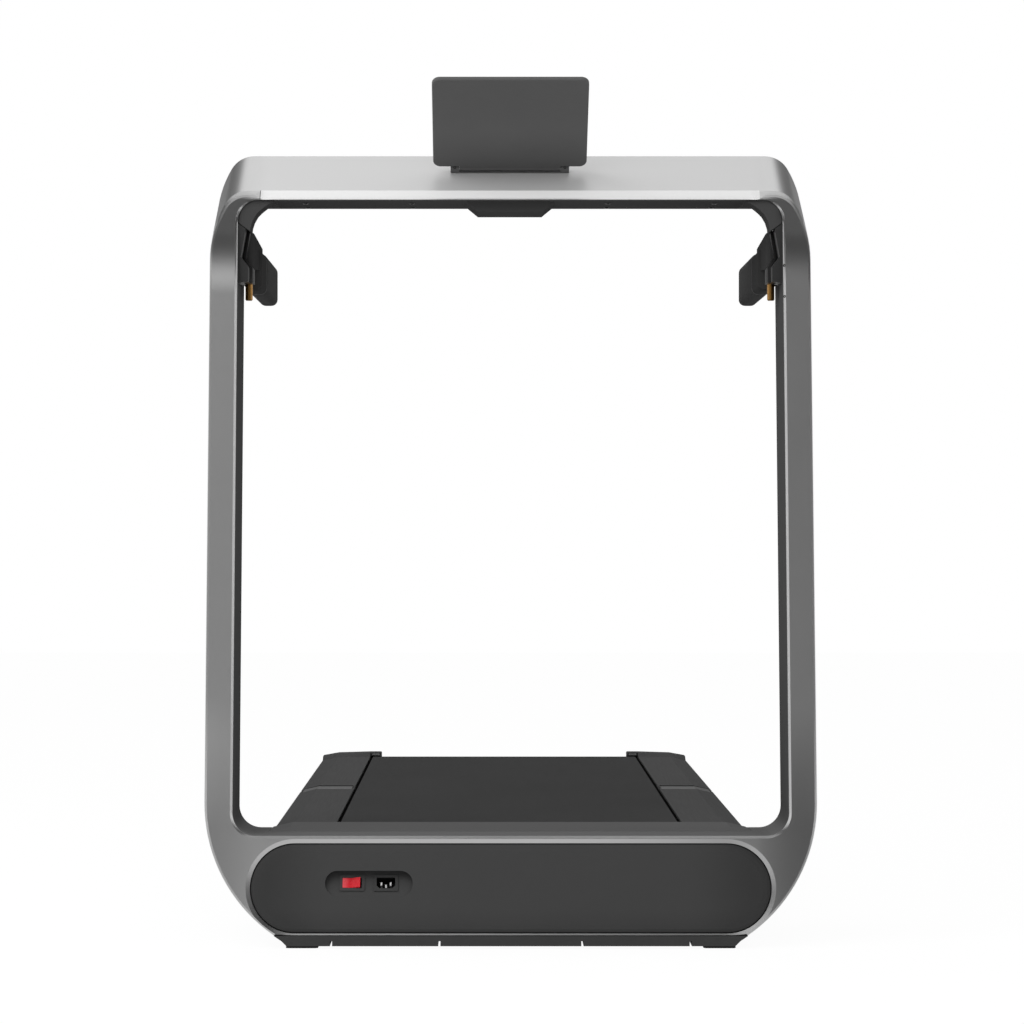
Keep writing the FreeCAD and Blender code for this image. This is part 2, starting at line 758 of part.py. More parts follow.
def make_base_pan():
    middle = (PAN_BOTTOM + FRAME_BOTTOM) / 2
    right = [corner(pan_half(z), z) for z in (PAN_BOTTOM, middle, FRAME_BOTTOM)]
    pan = deep(right + flipped(right), 0, rear_y(FRAME_BOTTOM))
    for place in (NOTCH_IN, HALF - NOTCH_SIDE):
        notch = box(place - NOTCH_WIDTH / 2, place + NOTCH_WIDTH / 2, -1, NOTCH_DEPTH, 0, middle)
        pan = pan.cut(pair(notch))
    return pan.cut(pair(wheel_well()))


def make_base_feet():
    """Two front and two back rubber feet under the pan."""
    inner = FOOT_OUTER - FOOT_WIDTH
    front = rounded(inner, FOOT_OUTER, FOOT_FRONT, FOOT_FRONT + FOOT_LENGTH, FOOT_R)
    last = rear_y(0) - FOOT_FRONT
    middle = inner / 2
    back = rounded(middle, middle + FOOT_WIDTH, last - FOOT_WIDTH, last, FOOT_R)
    feet = [tall(place, 0, PAN_BOTTOM) for place in (front, back)]
    return Part.makeCompound(feet + [mirrored(foot) for foot in feet])


def make_controller_board():
    """Circuit board on stand-offs with a finned heat sink on it."""
    y0 = COVER_DEPTH + POCKET_BACKING
    low = BAY_BOTTOM + STANDOFF
    top = low + BOARD_THICK
    pieces = [box(0, BOARD_LONG, y0, y0 + BOARD_WIDE, low, top)]
    inset = 2 * STANDOFF_R
    for x in (inset, BOARD_LONG - inset):
        for y in (y0 + inset, y0 + BOARD_WIDE - inset):
            pieces.append(post(STANDOFF_R, BAY_BOTTOM, low, x, y))
    left = 4 * inset
    sink = box(left, left + SINK_LONG, y0 + inset, y0 + BOARD_WIDE - inset, top, top + FIN_THICK)
    pitch = (SINK_LONG - FIN_THICK) / (FIN_COUNT - 1)
    for i in range(FIN_COUNT):
        x = left + i * pitch
        sink = sink.fuse(box(x, x + FIN_THICK, y0 + inset, y0 + BOARD_WIDE - inset, top, top + SINK_TALL))
    pieces.append(sink)
    return lean(Part.makeCompound(pieces))


def wheel_well():
    half = WHEEL_WIDE / 2 + WELL_GAP
    reach = WHEEL_R + WELL_GAP
    return box(WHEEL_X - half, WHEEL_X + half, WHEEL_Y - reach, LENGTH, 0, WHEEL_Z + reach)


def wheel_axle(r, extra):
    half = WHEEL_WIDE / 2 + 2 * WELL_GAP + extra
    return rod(r, WHEEL_X - half, WHEEL_X + half, WHEEL_Y, WHEEL_Z)


def make_wheel():
    """Right transport wheel with a rounded tread and a bore."""
    half = WHEEL_WIDE / 2
    wheel = rod(WHEEL_R, WHEEL_X - half, WHEEL_X + half, WHEEL_Y, WHEEL_Z)
    wheel = wheel.makeFillet(WELL_GAP, [e for e in wheel.Edges if len(e.Vertexes) == 1])
    return wheel.cut(rod(WHEEL_AXLE_R + RUN, WHEEL_X - WHEEL_WIDE, WHEEL_X + WHEEL_WIDE, WHEEL_Y, WHEEL_Z))


def make_console_bottom_cover():
    """Plate in the mouth of the crossbar with a trapezoid hump under its middle."""
    half = CAVITY_HALF - FIT
    front, back = CAVITY_FRONT + FIT, LOOP_DEPTH - CONSOLE_WALL - FIT
    plate = slab(front, back, OPENING_TOP, OPENING_TOP + CONSOLE_PLATE, -half, half)
    low = OPENING_TOP - HUMP_DEEP
    right = [corner(HUMP_FOOT_HALF, low), corner(HUMP_HALF, OPENING_TOP)]
    start = front_y(OPENING_TOP) + 2 * CAVITY_FRONT
    hump = deep(right + flipped(right), start, front_y(OPENING_TOP) + back - CAVITY_FRONT)
    return plate.fuse(hump)


def make_console_board():
    """Circuit board against the inside of the crossbar's back wall."""
    back = LOOP_DEPTH - CONSOLE_WALL
    low = OPENING_TOP + DISPLAY_LOW
    half = DISPLAY_HALF - KNOB_R
    return slab(back - BOARD_THICK, back, low, low + DISPLAY_TALL - CAVITY_ROOF, -half, half)


def make_speed_knob():
    """Fluted knob on its shaft, square to the back of the crossbar."""
    y = V(0, 1, 0)
    knob = Part.makeCylinder(KNOB_R, KNOB_TALL, V(KNOB_X, SLIP, KEY_Z), y)
    rim = [e for e in knob.Edges if len(e.Vertexes) == 1 and e.CenterOfMass.y > KNOB_TALL / 2]
    knob = knob.makeFillet(KNOB_TALL / 6, rim)
    flute_r = math.pi * KNOB_R / KNOB_FLUTES / 3
    for i in range(KNOB_FLUTES):
        a = 360.0 * i / KNOB_FLUTES
        place = V(KNOB_X + KNOB_R * cosd(a), 0, KEY_Z + KNOB_R * sind(a))
        knob = knob.cut(Part.makeCylinder(flute_r, 2 * KNOB_TALL, place, y))
    shaft = Part.makeCylinder(KNOB_SHAFT_R, KNOB_SHAFT + 2 * SLIP, V(KNOB_X, -KNOB_SHAFT, KEY_Z), y)
    return lean(knob.fuse(shaft), LOOP_DEPTH)


def make_key_socket():
    return key_plate(0, SOCKET_THICK).cut(key_tongue(FIT))


def make_safety_key():
    """Tongue in the socket with a rounded grip outside it."""
    half, tall_half = KEY_GRIP_WIDE / 2, KEY_GRIP_TALL / 2
    sides = rounded(KEY_X - half, KEY_X + half, KEY_Z - tall_half, KEY_Z + tall_half, tall_half / 2)
    grip = deep(sides, SLIP, SLIP + KEY_GRIP_THICK)
    return key_tongue(0).fuse(lean(grip, LOOP_DEPTH))


def set_on_slope(shape):
    placed = shape.copy()
    placed.rotate(V(0, 0, 0), V(1, 0, 0), SLOPE)
    placed.translate(TABLET_BASE)
    return placed


def make_tablet_hinge_base():
    """Strip on the crossbar's slope with a knuckle at each end."""
    half = TABLET_BASE_HALF
    strip = tall(rounded(-half, half, -TABLET_BASE_LONG / 2, TABLET_BASE_LONG / 2, FOOT_R), 0, TABLET_BASE_THICK)
    start = TABLET_BARREL_HALF + FIT
    r = TABLET_BARREL_R
    knuckle = box(start, half, -r, r, TABLET_BASE_THICK - 1, TABLET_AXIS_UP)
    knuckle = knuckle.fuse(rod(r, start, half, 0, TABLET_AXIS_UP))
    base = strip.fuse([knuckle, mirrored(knuckle)])
    base = base.cut(rod(TABLET_PIN_R + RUN, -half - 1, half + 1, 0, TABLET_AXIS_UP))
    return set_on_slope(base)


def make_tablet_hinge_pin():
    half = TABLET_BASE_HALF - FIT
    return set_on_slope(rod(TABLET_PIN_R, -half, half, 0, TABLET_AXIS_UP))


def stand_tablet(shape):
    """Lean a piece drawn upright on the tablet's axis towards the front."""
    placed = shape.copy()
    placed.rotate(V(0, 0, 0), V(1, 0, 0), TABLET_LEAN)
    placed.translate(TABLET_AXIS)
    return placed


def make_tablet_plate():
    half, thick = TABLET_WIDE / 2, TABLET_THICK / 2
    start = TABLET_BARREL_R + 1
    plate = deep(rounded(-half, half, start, TABLET_LONG, TABLET_R), -thick, thick)
    edges = [e for e in plate.Edges if abs(e.BoundBox.YLength) < FIT]
    plate = plate.makeChamfer(thick / 3, edges)
    reach = TABLET_BARREL_HALF
    barrel = rod(TABLET_BARREL_R, -reach, reach, 0, 0)
    barrel = barrel.fuse(box(-reach, reach, -thick, thick, 0, start + TABLET_R))
    plate = plate.fuse(barrel).cut(rod(TABLET_PIN_R + RUN, -half, half, 0, 0))
    return stand_tablet(plate)


def make_tablet_pads():
    """Two rubber strips on the face that the tablet lies on."""
    pads = []
    face = TABLET_THICK / 2
    for low in (PAD_INSET, TABLET_LONG - PAD_INSET - PAD_TALL):
        strip = rounded(-PAD_HALF, PAD_HALF, low, low + PAD_TALL, PAD_TALL / 3)
        pads.append(stand_tablet(deep(strip, face, face + PAD_THICK)))
    return Part.makeCompound(pads)


def handle_bracket():
    """Plate on the upright with a stepped block ahead of the handlebar and the fixed lower knuckle."""
    ahead, behind = HANDLE_PIN_Y - BRACKET_AHEAD, HANDLE_PIN_Y + BRACKET_BEHIND
    plate = across(rounded(ahead, behind, BRACKET_LOW, BRACKET_HIGH, HANDLE_R / 2), OPENING_HALF - BRACKET_PLATE,
                   OPENING_HALF)
    steps = [
        corner(OPENING_HALF, BRACKET_LOW),
        corner(OPENING_HALF - BLOCK_WIDE, KNUCKLE_LOW),
        corner(OPENING_HALF - BLOCK_WIDE, KNUCKLE_MID),
        corner(OPENING_HALF - BLOCK_NECK, KNUCKLE_MID + BLOCK_STEP),
        corner(OPENING_HALF - BLOCK_TOP_WIDE, KNUCKLE_HIGH),
        corner(OPENING_HALF, BRACKET_HIGH),
    ]
    block = deep(steps, ahead, HANDLE_PIN_Y - BLOCK_BEHIND)
    arm = box(HANDLE_PIN_X, OPENING_HALF - BRACKET_PLATE / 2, HANDLE_PIN_Y - BLOCK_BEHIND - 1,
              HANDLE_PIN_Y + HANDLE_PIN_R, KNUCKLE_LOW, KNUCKLE_MID)
    knuckle = post(KNUCKLE_R, KNUCKLE_LOW, KNUCKLE_MID, HANDLE_PIN_X, HANDLE_PIN_Y)
    bracket = plate.fuse([block, arm, knuckle])
    return bracket.cut(post(HANDLE_PIN_R + RUN, BRACKET_LOW, KNUCKLE_HIGH, HANDLE_PIN_X, HANDLE_PIN_Y))


def handle_pin():
    low = KNUCKLE_LOW - HANDLE_PIN_DROP
    pin = post(HANDLE_PIN_R, low, KNUCKLE_HIGH - FIT, HANDLE_PIN_X, HANDLE_PIN_Y)
    return pin.makeChamfer(HANDLE_PIN_R / 4, [e for e in pin.Edges if len(e.Vertexes) == 1])


def bar_section(grow):
    """Rounded section of the handlebar, grown or set in."""
    r = HANDLE_R + grow
    return rounded(HANDLE_IN - grow, HANDLE_OUT + grow, HANDLE_LOW - grow, HANDLE_HIGH + grow, r)


def handle_nose(low):
    """Moving knuckle that widens from the pin to the bar and falls to the bar's top."""
    back = HANDLE_PIN_Y + HANDLE_NECK
    wide = HANDLE_PIN_X - HANDLE_IN
    reach = math.hypot(wide, HANDLE_NECK)
    turn = 180 - math.degrees(math.atan2(HANDLE_NECK, wide)) + math.degrees(math.acos(KNUCKLE_R / reach))
    plan = [
        bend(HANDLE_PIN_X, HANDLE_PIN_Y, KNUCKLE_R, turn, 360),
        corner(HANDLE_PIN_X + KNUCKLE_R, back),
        corner(HANDLE_IN, back),
    ]
    fall = [
        corner(HANDLE_PIN_Y - KNUCKLE_R, low),
        corner(back, low),
        corner(back, HANDLE_HIGH),
        corner(HANDLE_PIN_Y - KNUCKLE_R, KNUCKLE_HIGH),
    ]
    return tall(plan, low, KNUCKLE_HIGH).common(across(fall, HANDLE_IN - 1, HANDLE_OUT + 1))


def make_handle():
    """Right handlebar: nose on the pin, full bar, then a slimmer core inside the grip."""
    start = HANDLE_PIN_Y + HANDLE_START
    end = HANDLE_PIN_Y + HANDLE_REACH
    shoulder = end - GRIP_LONG
    low = KNUCKLE_MID + FIT
    bar = deep(bar_section(0), start, shoulder)
    core = deep(bar_section(-GRIP_THICK - FIT), shoulder, end - GRIP_THICK - FIT)
    handle = bar.fuse([core, handle_nose(low)])
    return handle.cut(post(HANDLE_PIN_R + RUN, low - 1, KNUCKLE_HIGH + 1, HANDLE_PIN_X, HANDLE_PIN_Y))


def make_grip():
    """Right grip: a closed rubber sleeve over the end of the bar."""
    end = HANDLE_PIN_Y + HANDLE_REACH
    start = end - GRIP_LONG + FIT
    sleeve = deep(bar_section(0), start, end)
    rim = [e for e in sleeve.Edges if e.BoundBox.YMin > end - FIT]
    sleeve = sleeve.makeFillet(GRIP_THICK, rim)
    return sleeve.cut(deep(bar_section(-GRIP_THICK), start - 1, end - GRIP_THICK))


def hinge_lug():
    """Right lug behind the base beam that holds the deck's hinge pin."""
    sides = [
        corner(rear_y(LUG_LOW), LUG_LOW),
        bend(HINGE_Y, HINGE_Z, HINGE_BOSS_R, -45, 90),
        corner(rear_y(LUG_HIGH), LUG_HIGH),
    ]
    lug = across(sides, LUG_IN, LUG_IN + LUG_THICK)
    return lug.cut(rod(HINGE_PIN_R + RUN, LUG_IN - 1, LUG_IN + LUG_THICK + 1, HINGE_Y, HINGE_Z))


def hinge_pin():
    outer = LUG_IN + LUG_THICK
    pin = rod(HINGE_PIN_R, SIDE_PLATE_X, outer + PIN_HEAD, HINGE_Y, HINGE_Z)
    return pin.fuse(rod(PIN_HEAD_R, outer, outer + PIN_HEAD, HINGE_Y, HINGE_Z))


def shoulder_top(half, top):
    """Top outer corner of the deck's section: flat, then sloping down to the side."""
    return [corner(half, top - SHOULDER_DROP), corner(half - SHOULDER_WIDE, top)]


def rail_section():
    """Right rail's section in the front view."""
    return [
        corner(RAIL_IN, RAIL_BOTTOM),
        corner(DECK_HALF - KEEL_WIDE, RAIL_BOTTOM),
        corner(DECK_HALF, RAIL_BOTTOM + KEEL_TALL),
    ] + shoulder_top(DECK_HALF, RAIL_TOP) + [corner(RAIL_IN, RAIL_TOP)]


def rail(y0, y1):
    """Right hollow rail between two depths."""
    hollow = Part.Face(outline(rail_section()).makeOffset2D(-RAIL_WALL)).extrude(V(0, y1 - y0 + 2, 0))
    hollow.translate(V(0, y0 - 1, 0))
    return deep(rail_section(), y0, y1).cut(hollow)


def seam_mirror(shape):
    """The same shape on the other side of the fold."""
    return shape.mirror(V(0, SEAM_Y, 0), V(0, 1, 0))


def link_room():
    """What the hinge link and its swing take out of the front rail between its side walls."""
    room_r = FOLD_DROP - LINK_SHORT + SLIP
    floor = FOLD_Z - room_r
    x0, x1 = RAIL_IN + RAIL_WALL, DECK_HALF - RAIL_WALL
    room = rod(room_r, x0, x1, FOLD_FRONT_Y, FOLD_Z)
    room = room.fuse(box(x0, x1, FOLD_FRONT_Y, SEAM_Y + 1, floor, RAIL_TOP + 1))
    return room.fuse(box(x0, x1, FOLD_FRONT_Y - room_r, SEAM_Y + 1, FOLD_Z, RAIL_TOP + 1))


def wall_room():
    """What the rail's side walls give up so that they end in a round ear about the fold axis."""
    ear_r = FOLD_DROP - LINK_SHORT
    x0, x1 = RAIL_IN - 1, DECK_HALF + 1
    room = box(x0, x1, FOLD_FRONT_Y, SEAM_Y + 1, FOLD_Z - ear_r, RAIL_TOP + 1)
    return room.cut(rod(ear_r, x0, x1, FOLD_FRONT_Y, FOLD_Z))


def make_front_rail():
    body = rail(RAIL_FRONT, SEAM_Y - SLIP)
    body = body.cut(link_room()).cut(wall_room())
    body = body.cut(rod(FOLD_PIN_R + RUN, RAIL_IN - 1, DECK_HALF + 1, FOLD_FRONT_Y, FOLD_Z))
    return body.cut(rod(IDLER_PIN_R + RUN, RAIL_IN - 1, RAIL_IN + RAIL_WALL + 1, SEAM_Y - IDLER_BACK, IDLER_Z))


def make_rear_rail():
    body = rail(SEAM_Y + SLIP, RAIL_BACK)
    body = body.cut(seam_mirror(link_room())).cut(seam_mirror(wall_room()))
    body = body.cut(rod(FOLD_PIN_R + RUN, RAIL_IN - 1, DECK_HALF + 1, FOLD_REAR_Y, FOLD_Z))
    return body.cut(rod(IDLER_PIN_R + RUN, RAIL_IN - 1, RAIL_IN + RAIL_WALL + 1, SEAM_Y + IDLER_BACK, IDLER_Z))


def fold_link():
    """Right hinge block between the two fold axes, under the rail's shoulder line."""
    r = FOLD_DROP - LINK_SHORT
    sides = [bend(FOLD_REAR_Y, FOLD_Z, r, -90, 90), bend(FOLD_FRONT_Y, FOLD_Z, r, 90, 270)]
    block = across(sides, RAIL_IN + RAIL_WALL + SLIP, DECK_HALF - RAIL_WALL - SLIP)
    roof = deep(rail_section(), FOLD_FRONT_Y - FOLD_HALF, FOLD_REAR_Y + FOLD_HALF)
    roof.translate(V(0, 0, -LINK_SHORT))
    block = block.common(roof)
    for y in (FOLD_FRONT_Y, FOLD_REAR_Y):
        block = block.cut(rod(FOLD_PIN_R + RUN, RAIL_IN, DECK_HALF, y, FOLD_Z))
    return block


def make_fold_pins():
    """Two pins in each hinge block, running in the rails' side walls."""
    ends = (RAIL_IN + SLIP, DECK_HALF - SLIP)
    pins = [rod(FOLD_PIN_R, *ends, y, FOLD_Z) for y in (FOLD_FRONT_Y, FOLD_REAR_Y)]
    return Part.makeCompound(pins + [mirrored(pin) for pin in pins])


def cross_bars(first, last):
    """Flat bars between the rails that carry the deck board."""
    bars = []
    pitch = (last - first) / (CROSS_BAR_COUNT - 1)
    half = CROSS_BAR_WIDE / 2
    for i in range(CROSS_BAR_COUNT):
        y = first + i * pitch
        bars.append(box(-RAIL_IN, RAIL_IN, y - half, y + half, DECK_UNDER - CROSS_BAR_THICK, DECK_UNDER))
    return Part.makeCompound(bars)


def cross_bar_span():
    """First and last cross bar, counted from the roller end towards the fold."""
    return CROSS_BAR_FROM_ROLLER, SEAM_Y - FRONT_ROLLER_Y - CROSS_BAR_FROM_FOLD


def make_rear_crossbars():
    first, last = cross_bar_span()
    return cross_bars(REAR_ROLLER_Y - last, REAR_ROLLER_Y - first)


def make_front_deck_board():
    half = RAIL_IN - FIT
    return box(-half, half, MOTOR_COVER_BACK, FOLD_FRONT_Y + BELT_END, DECK_UNDER, DECK_TOP)


def make_rear_deck_board():
    half = RAIL_IN - FIT
    end = REAR_ROLLER_Y - ROLLER_BACK
    return box(-half, half, FOLD_REAR_Y - BELT_END, end, DECK_UNDER, DECK_TOP)


def belt(roller_y, end_y, bend_y):
    """Half of the running belt: top run, wrap round the roller, lower run up to the fold."""
    r_in = ROLLER_R + FIT
    r_out = r_in + BELT_THICK
    low_in, low_out = LOWER_RUN_Z + BELT_THICK, LOWER_RUN_Z
    ahead = roller_y < end_y
    angles = (90, 270) if ahead else (90, -90)
    wrap_out = bend(roller_y, ROLLER_Z, r_out, *angles)
    wrap_in = bend(roller_y, ROLLER_Z, r_in, angles[1], angles[0])
    sides = [
        corner(end_y, BELT_TOP),
        wrap_out,
        corner(bend_y, low_out),
        corner(end_y, low_out),
        corner(end_y, low_in),
        corner(bend_y, low_in),
        wrap_in,
        corner(end_y, BELT_TOP - BELT_THICK),
    ]
    return across(sides, -BELT_HALF, BELT_HALF)


def make_belt_front():
    return belt(FRONT_ROLLER_Y, FOLD_FRONT_Y + BELT_END, SEAM_Y - IDLER_BACK)


def make_belt_rear():
    return belt(REAR_ROLLER_Y, FOLD_REAR_Y - BELT_END, SEAM_Y + IDLER_BACK)


def roller(y):
    """Hollow roller with a plug and a bore at each end."""
    half = BELT_HALF + FIT
    shell = rod(ROLLER_R, -half, half, y, ROLLER_Z)
    shell = shell.cut(rod(ROLLER_R - ROLLER_SHELL, ROLLER_PLUG - half, half - ROLLER_PLUG, y, ROLLER_Z))
    return shell.cut(rod(AXLE_R + RUN, -DECK_HALF, DECK_HALF, y, ROLLER_Z))


def make_front_roller():
    """Roller with the drive pulley on its left end."""
    left = PULLEY_X - PULLEY_WIDE / 2
    pulley = rod(PULLEY_R, left, left + PULLEY_WIDE, FRONT_ROLLER_Y, ROLLER_Z)
    hub = rod(PULLEY_R - ROLLER_SHELL, left, -BELT_HALF, FRONT_ROLLER_Y, ROLLER_Z)
    body = roller(FRONT_ROLLER_Y).fuse([hub, pulley])
    return body.cut(rod(AXLE_R + RUN, -DECK_HALF, DECK_HALF, FRONT_ROLLER_Y, ROLLER_Z))


def make_front_axle():
    half = SIDE_PLATE_X + SIDE_PLATE_THICK
    return rod(AXLE_R, -half, half, FRONT_ROLLER_Y, ROLLER_Z)


def make_idler(y):
    half = RAIL_IN + RAIL_WALL - FIT
    body = rod(IDLER_R, -BELT_HALF, BELT_HALF, y, IDLER_Z)
    return body.fuse(rod(IDLER_PIN_R, -half, half, y, IDLER_Z))


def side_plate():
    """Right plate of the motor frame with the hinge sleeve at its front corner."""
    x0, x1 = SIDE_PLATE_X, SIDE_PLATE_X + SIDE_PLATE_THICK
    front = HINGE_Y - HINGE_BOSS_R
    sides = [
        corner(front, BELLY_TOP),
        corner(RAIL_FRONT, BELLY_TOP),
        corner(RAIL_FRONT, DECK_TOP - RAIL_WALL),
        bend(HINGE_Y, HINGE_Z, HINGE_BOSS_R, 80, 180),
    ]
    plate = across(sides, x0, x1).fuse(rod(HINGE_BOSS_R, x0, DECK_HALF - FIT, HINGE_Y, HINGE_Z))
    shoe_low, shoe_high = RAIL_BOTTOM + RAIL_WALL, DECK_TOP - RAIL_WALL
    shoe = box(RAIL_IN, DECK_HALF - KEEL_WIDE, RAIL_FRONT - SIDE_PLATE_THICK, RAIL_FRONT, shoe_low, shoe_high)
    plate = plate.fuse(shoe)
    plate = plate.cut(rod(HINGE_PIN_R + RUN, x0 - 1, DECK_HALF, HINGE_Y, HINGE_Z))
    return plate.cut(rod(AXLE_R + RUN, x0 - 1, x1 + 1, FRONT_ROLLER_Y, ROLLER_Z))


def make_front_frame():
    """Welded motor frame (side plates, belly plate, motor saddles) and the bars under the board."""
    half = SIDE_PLATE_X + SIDE_PLATE_THICK
    front = HINGE_Y - HINGE_BOSS_R
    belly = box(-half, half, front, RAIL_FRONT, BELLY_TOP - BELLY_THICK, BELLY_TOP)
    saddles = []
    for x in (MOTOR_LEFT + SADDLE_WIDE, MOTOR_LEFT + MOTOR_LONG - 2 * SADDLE_WIDE):
        block = box(x, x + SADDLE_WIDE, MOTOR_Y - MOTOR_R / 2, MOTOR_Y + MOTOR_R / 2, BELLY_TOP - 1,
                    BELLY_TOP + SADDLE_TALL)
        saddles.append(block.cut(rod(MOTOR_R, MOTOR_LEFT, 0, MOTOR_Y, MOTOR_Z)))
    motor_frame = belly.fuse([side_plate(), mirrored(side_plate())] + saddles)
    first, last = cross_bar_span()
    return Part.makeCompound([motor_frame, cross_bars(FRONT_ROLLER_Y + first, FRONT_ROLLER_Y + last)])


def make_motor_body():
    """Motor can with a bore for the shaft through both end plates."""
    right = MOTOR_LEFT + MOTOR_LONG
    can = rod(MOTOR_R - RUN, MOTOR_LEFT, right, MOTOR_Y, MOTOR_Z)
    can = can.cut(rod(MOTOR_R - MOTOR_SHELL, MOTOR_LEFT + MOTOR_SHELL, right - MOTOR_SHELL, MOTOR_Y, MOTOR_Z))
    return can.cut(rod(MOTOR_SHAFT_R + RUN, MOTOR_LEFT - 1, right + 1, MOTOR_Y, MOTOR_Z))


def make_motor_rotor():
    """Shaft with the rotor core inside the can and the small pulley outside it."""
    right = MOTOR_LEFT + MOTOR_LONG
    pulley_left = PULLEY_X - PULLEY_WIDE / 2
    shaft = rod(MOTOR_SHAFT_R, pulley_left, right, MOTOR_Y, MOTOR_Z)
    gap = 2 * MOTOR_SHELL
    core = rod(MOTOR_R - gap, MOTOR_LEFT + gap, right - gap, MOTOR_Y, MOTOR_Z)
    pulley = rod(MOTOR_PULLEY_R, pulley_left, pulley_left + PULLEY_WIDE, MOTOR_Y, MOTOR_Z)
    return shaft.fuse([core, pulley])


def drive_loop(grow):
    """Outline round both pulleys in the side view."""
    run, rise = FRONT_ROLLER_Y - MOTOR_Y, ROLLER_Z - MOTOR_Z
    small, big = MOTOR_PULLEY_R + grow, PULLEY_R + grow
    aim = math.degrees(math.atan2(rise, run))
    wrap = math.degrees(math.acos((small - big) / math.hypot(run, rise)))
    around_big = bend(FRONT_ROLLER_Y, ROLLER_Z, big, aim - wrap, aim + wrap)
    around_small = bend(MOTOR_Y, MOTOR_Z, small, aim + wrap, aim - wrap + 360)
    return [around_big, around_small]


def make_drive_belt():
    x0 = PULLEY_X - DRIVE_BELT_WIDE / 2
    x1 = x0 + DRIVE_BELT_WIDE
    loop = across(drive_loop(FIT + DRIVE_BELT_THICK), x0, x1)
    return loop.cut(across(drive_loop(FIT), x0 - 1, x1 + 1))


def make_motor_cover():
    """Dark shell over the motor: sloping shoulders, front wall and a lip over belt and rails."""
    top = RAIL_TOP + MOTOR_COVER_RISE
    wall = MOTOR_COVER_WALL
    right = [corner(DECK_HALF, MOTOR_COVER_LOW)] + shoulder_top(DECK_HALF, top)
    shell = deep(right + flipped(right), DECK_FRONT, MOTOR_COVER_BACK)
    rim = [e for e in shell.Edges if e.BoundBox.ZMin > RAIL_TOP - wall and e.BoundBox.XLength > DECK_HALF]
    shell = shell.makeFillet(COVER_EDGE_R, rim)
    inside = [corner(DECK_HALF - wall, MOTOR_COVER_LOW - 1)] + shoulder_top(DECK_HALF - wall, top - wall)
    shell = shell.cut(deep(inside + flipped(inside), DECK_FRONT + wall, MOTOR_COVER_BACK - wall))
    mouth_half = RAIL_IN - FIT
    back = MOTOR_COVER_BACK
    shell = shell.cut(box(-mouth_half, mouth_half, back - 2 * wall, back + 1, 0, BELT_TOP + BELT_THICK))
    shell = shell.cut(box(-DECK_HALF, DECK_HALF, back - 2 * wall, back + 1, 0, DECK_TOP))
    notch = HINGE_BOSS_R + SLIP
    slot = box(SIDE_PLATE_X - FIT, DECK_HALF + 1, DECK_FRONT - 1, HINGE_Y + notch, 0, HINGE_Z)
    slot = slot.fuse(rod(notch, SIDE_PLATE_X - FIT, DECK_HALF + 1, HINGE_Y, HINGE_Z))
    return shell.cut(pair(slot))


def deck_foot(y):
    """Right tapered foot under a rail."""
    middle = (RAIL_IN + DECK_HALF - KEEL_WIDE) / 2
    half, sole = DECK_FOOT_TOP / 2, DECK_FOOT_SOLE / 2
    top = outline(rounded(middle - half, middle + half, -half, half, FOOT_R))
    low = outline(rounded(middle - sole, middle + sole, -sole, sole, FOOT_R))
    for wire, height in ((top, RAIL_BOTTOM), (low, 0)):
        wire.rotate(V(0, 0, 0), V(1, 0, 0), -90)
        wire.translate(V(0, y, height))
    return Part.makeLoft([low, top], True, True)


def cap_section(y, rise, inset):
    """Section of the right rear cap at one depth."""
    low_x, out_x = RAIL_IN + inset, DECK_HALF - inset
    top = RAIL_TOP + rise - inset
    wire = outline([
        corner(low_x, RAIL_BOTTOM + inset),
        corner(out_x - KEEL_WIDE, RAIL_BOTTOM + inset),
        corner(out_x, RAIL_BOTTOM + KEEL_TALL + inset),
        corner(out_x, top - SHOULDER_DROP),
        corner(out_x - SHOULDER_WIDE, top - rise / 4),
        corner(low_x, top),
    ])
    wire.translate(V(0, y, 0))
    return wire


def make_rear_end_cap():
    """Right end block: ramps up from the rail, hooks over and behind the belt, carries the axle."""
    sections = [
        cap_section(RAIL_BACK, 0, 0),
        cap_section(RAIL_BACK + CAP_RAMP, CAP_RISE, 0),
        cap_section(LENGTH - CAP_ROUND, CAP_RISE, 0),
        cap_section(LENGTH - CAP_ROUND / 4, CAP_RISE, CAP_ROUND / 4),
        cap_section(LENGTH, CAP_RISE, CAP_ROUND),
    ]
    block = Part.makeLoft(sections, True, True)
    top = RAIL_TOP + CAP_RISE
    hook_front = RAIL_BACK + CAP_RAMP
    hook = box(RAIL_IN - CAP_HOOK, RAIL_IN + 1, hook_front, LENGTH - CAP_ROUND, top - CAP_HOOK_THICK, top)
    rim = [e for e in hook.Edges if e.BoundBox.XMax < RAIL_IN and e.BoundBox.ZMin > top - 1]
    skirt_front = REAR_ROLLER_Y + BELT_TOP - ROLLER_Z + CAP_SKIRT_GAP
    skirt = box(RAIL_IN - CAP_HOOK, RAIL_IN + 1, skirt_front, LENGTH - CAP_ROUND, ROLLER_Z, top - COVER_EDGE_R)
    block = block.fuse([hook.makeFillet(COVER_EDGE_R, rim), skirt])
    wall = AXLE_WALL
    hollow = box(RAIL_IN + wall, DECK_HALF - wall, RAIL_BACK - 1, LENGTH - wall, RAIL_BOTTOM + wall,
                 RAIL_TOP - wall)
    block = block.cut(hollow)
    block = block.cut(rod(AXLE_R + RUN, RAIL_IN - 1, RAIL_IN + wall + 1, REAR_ROLLER_Y, ROLLER_Z))
    block = block.cut(guide_clip(FIT))
    return block.cut(tension_bolt(RUN))


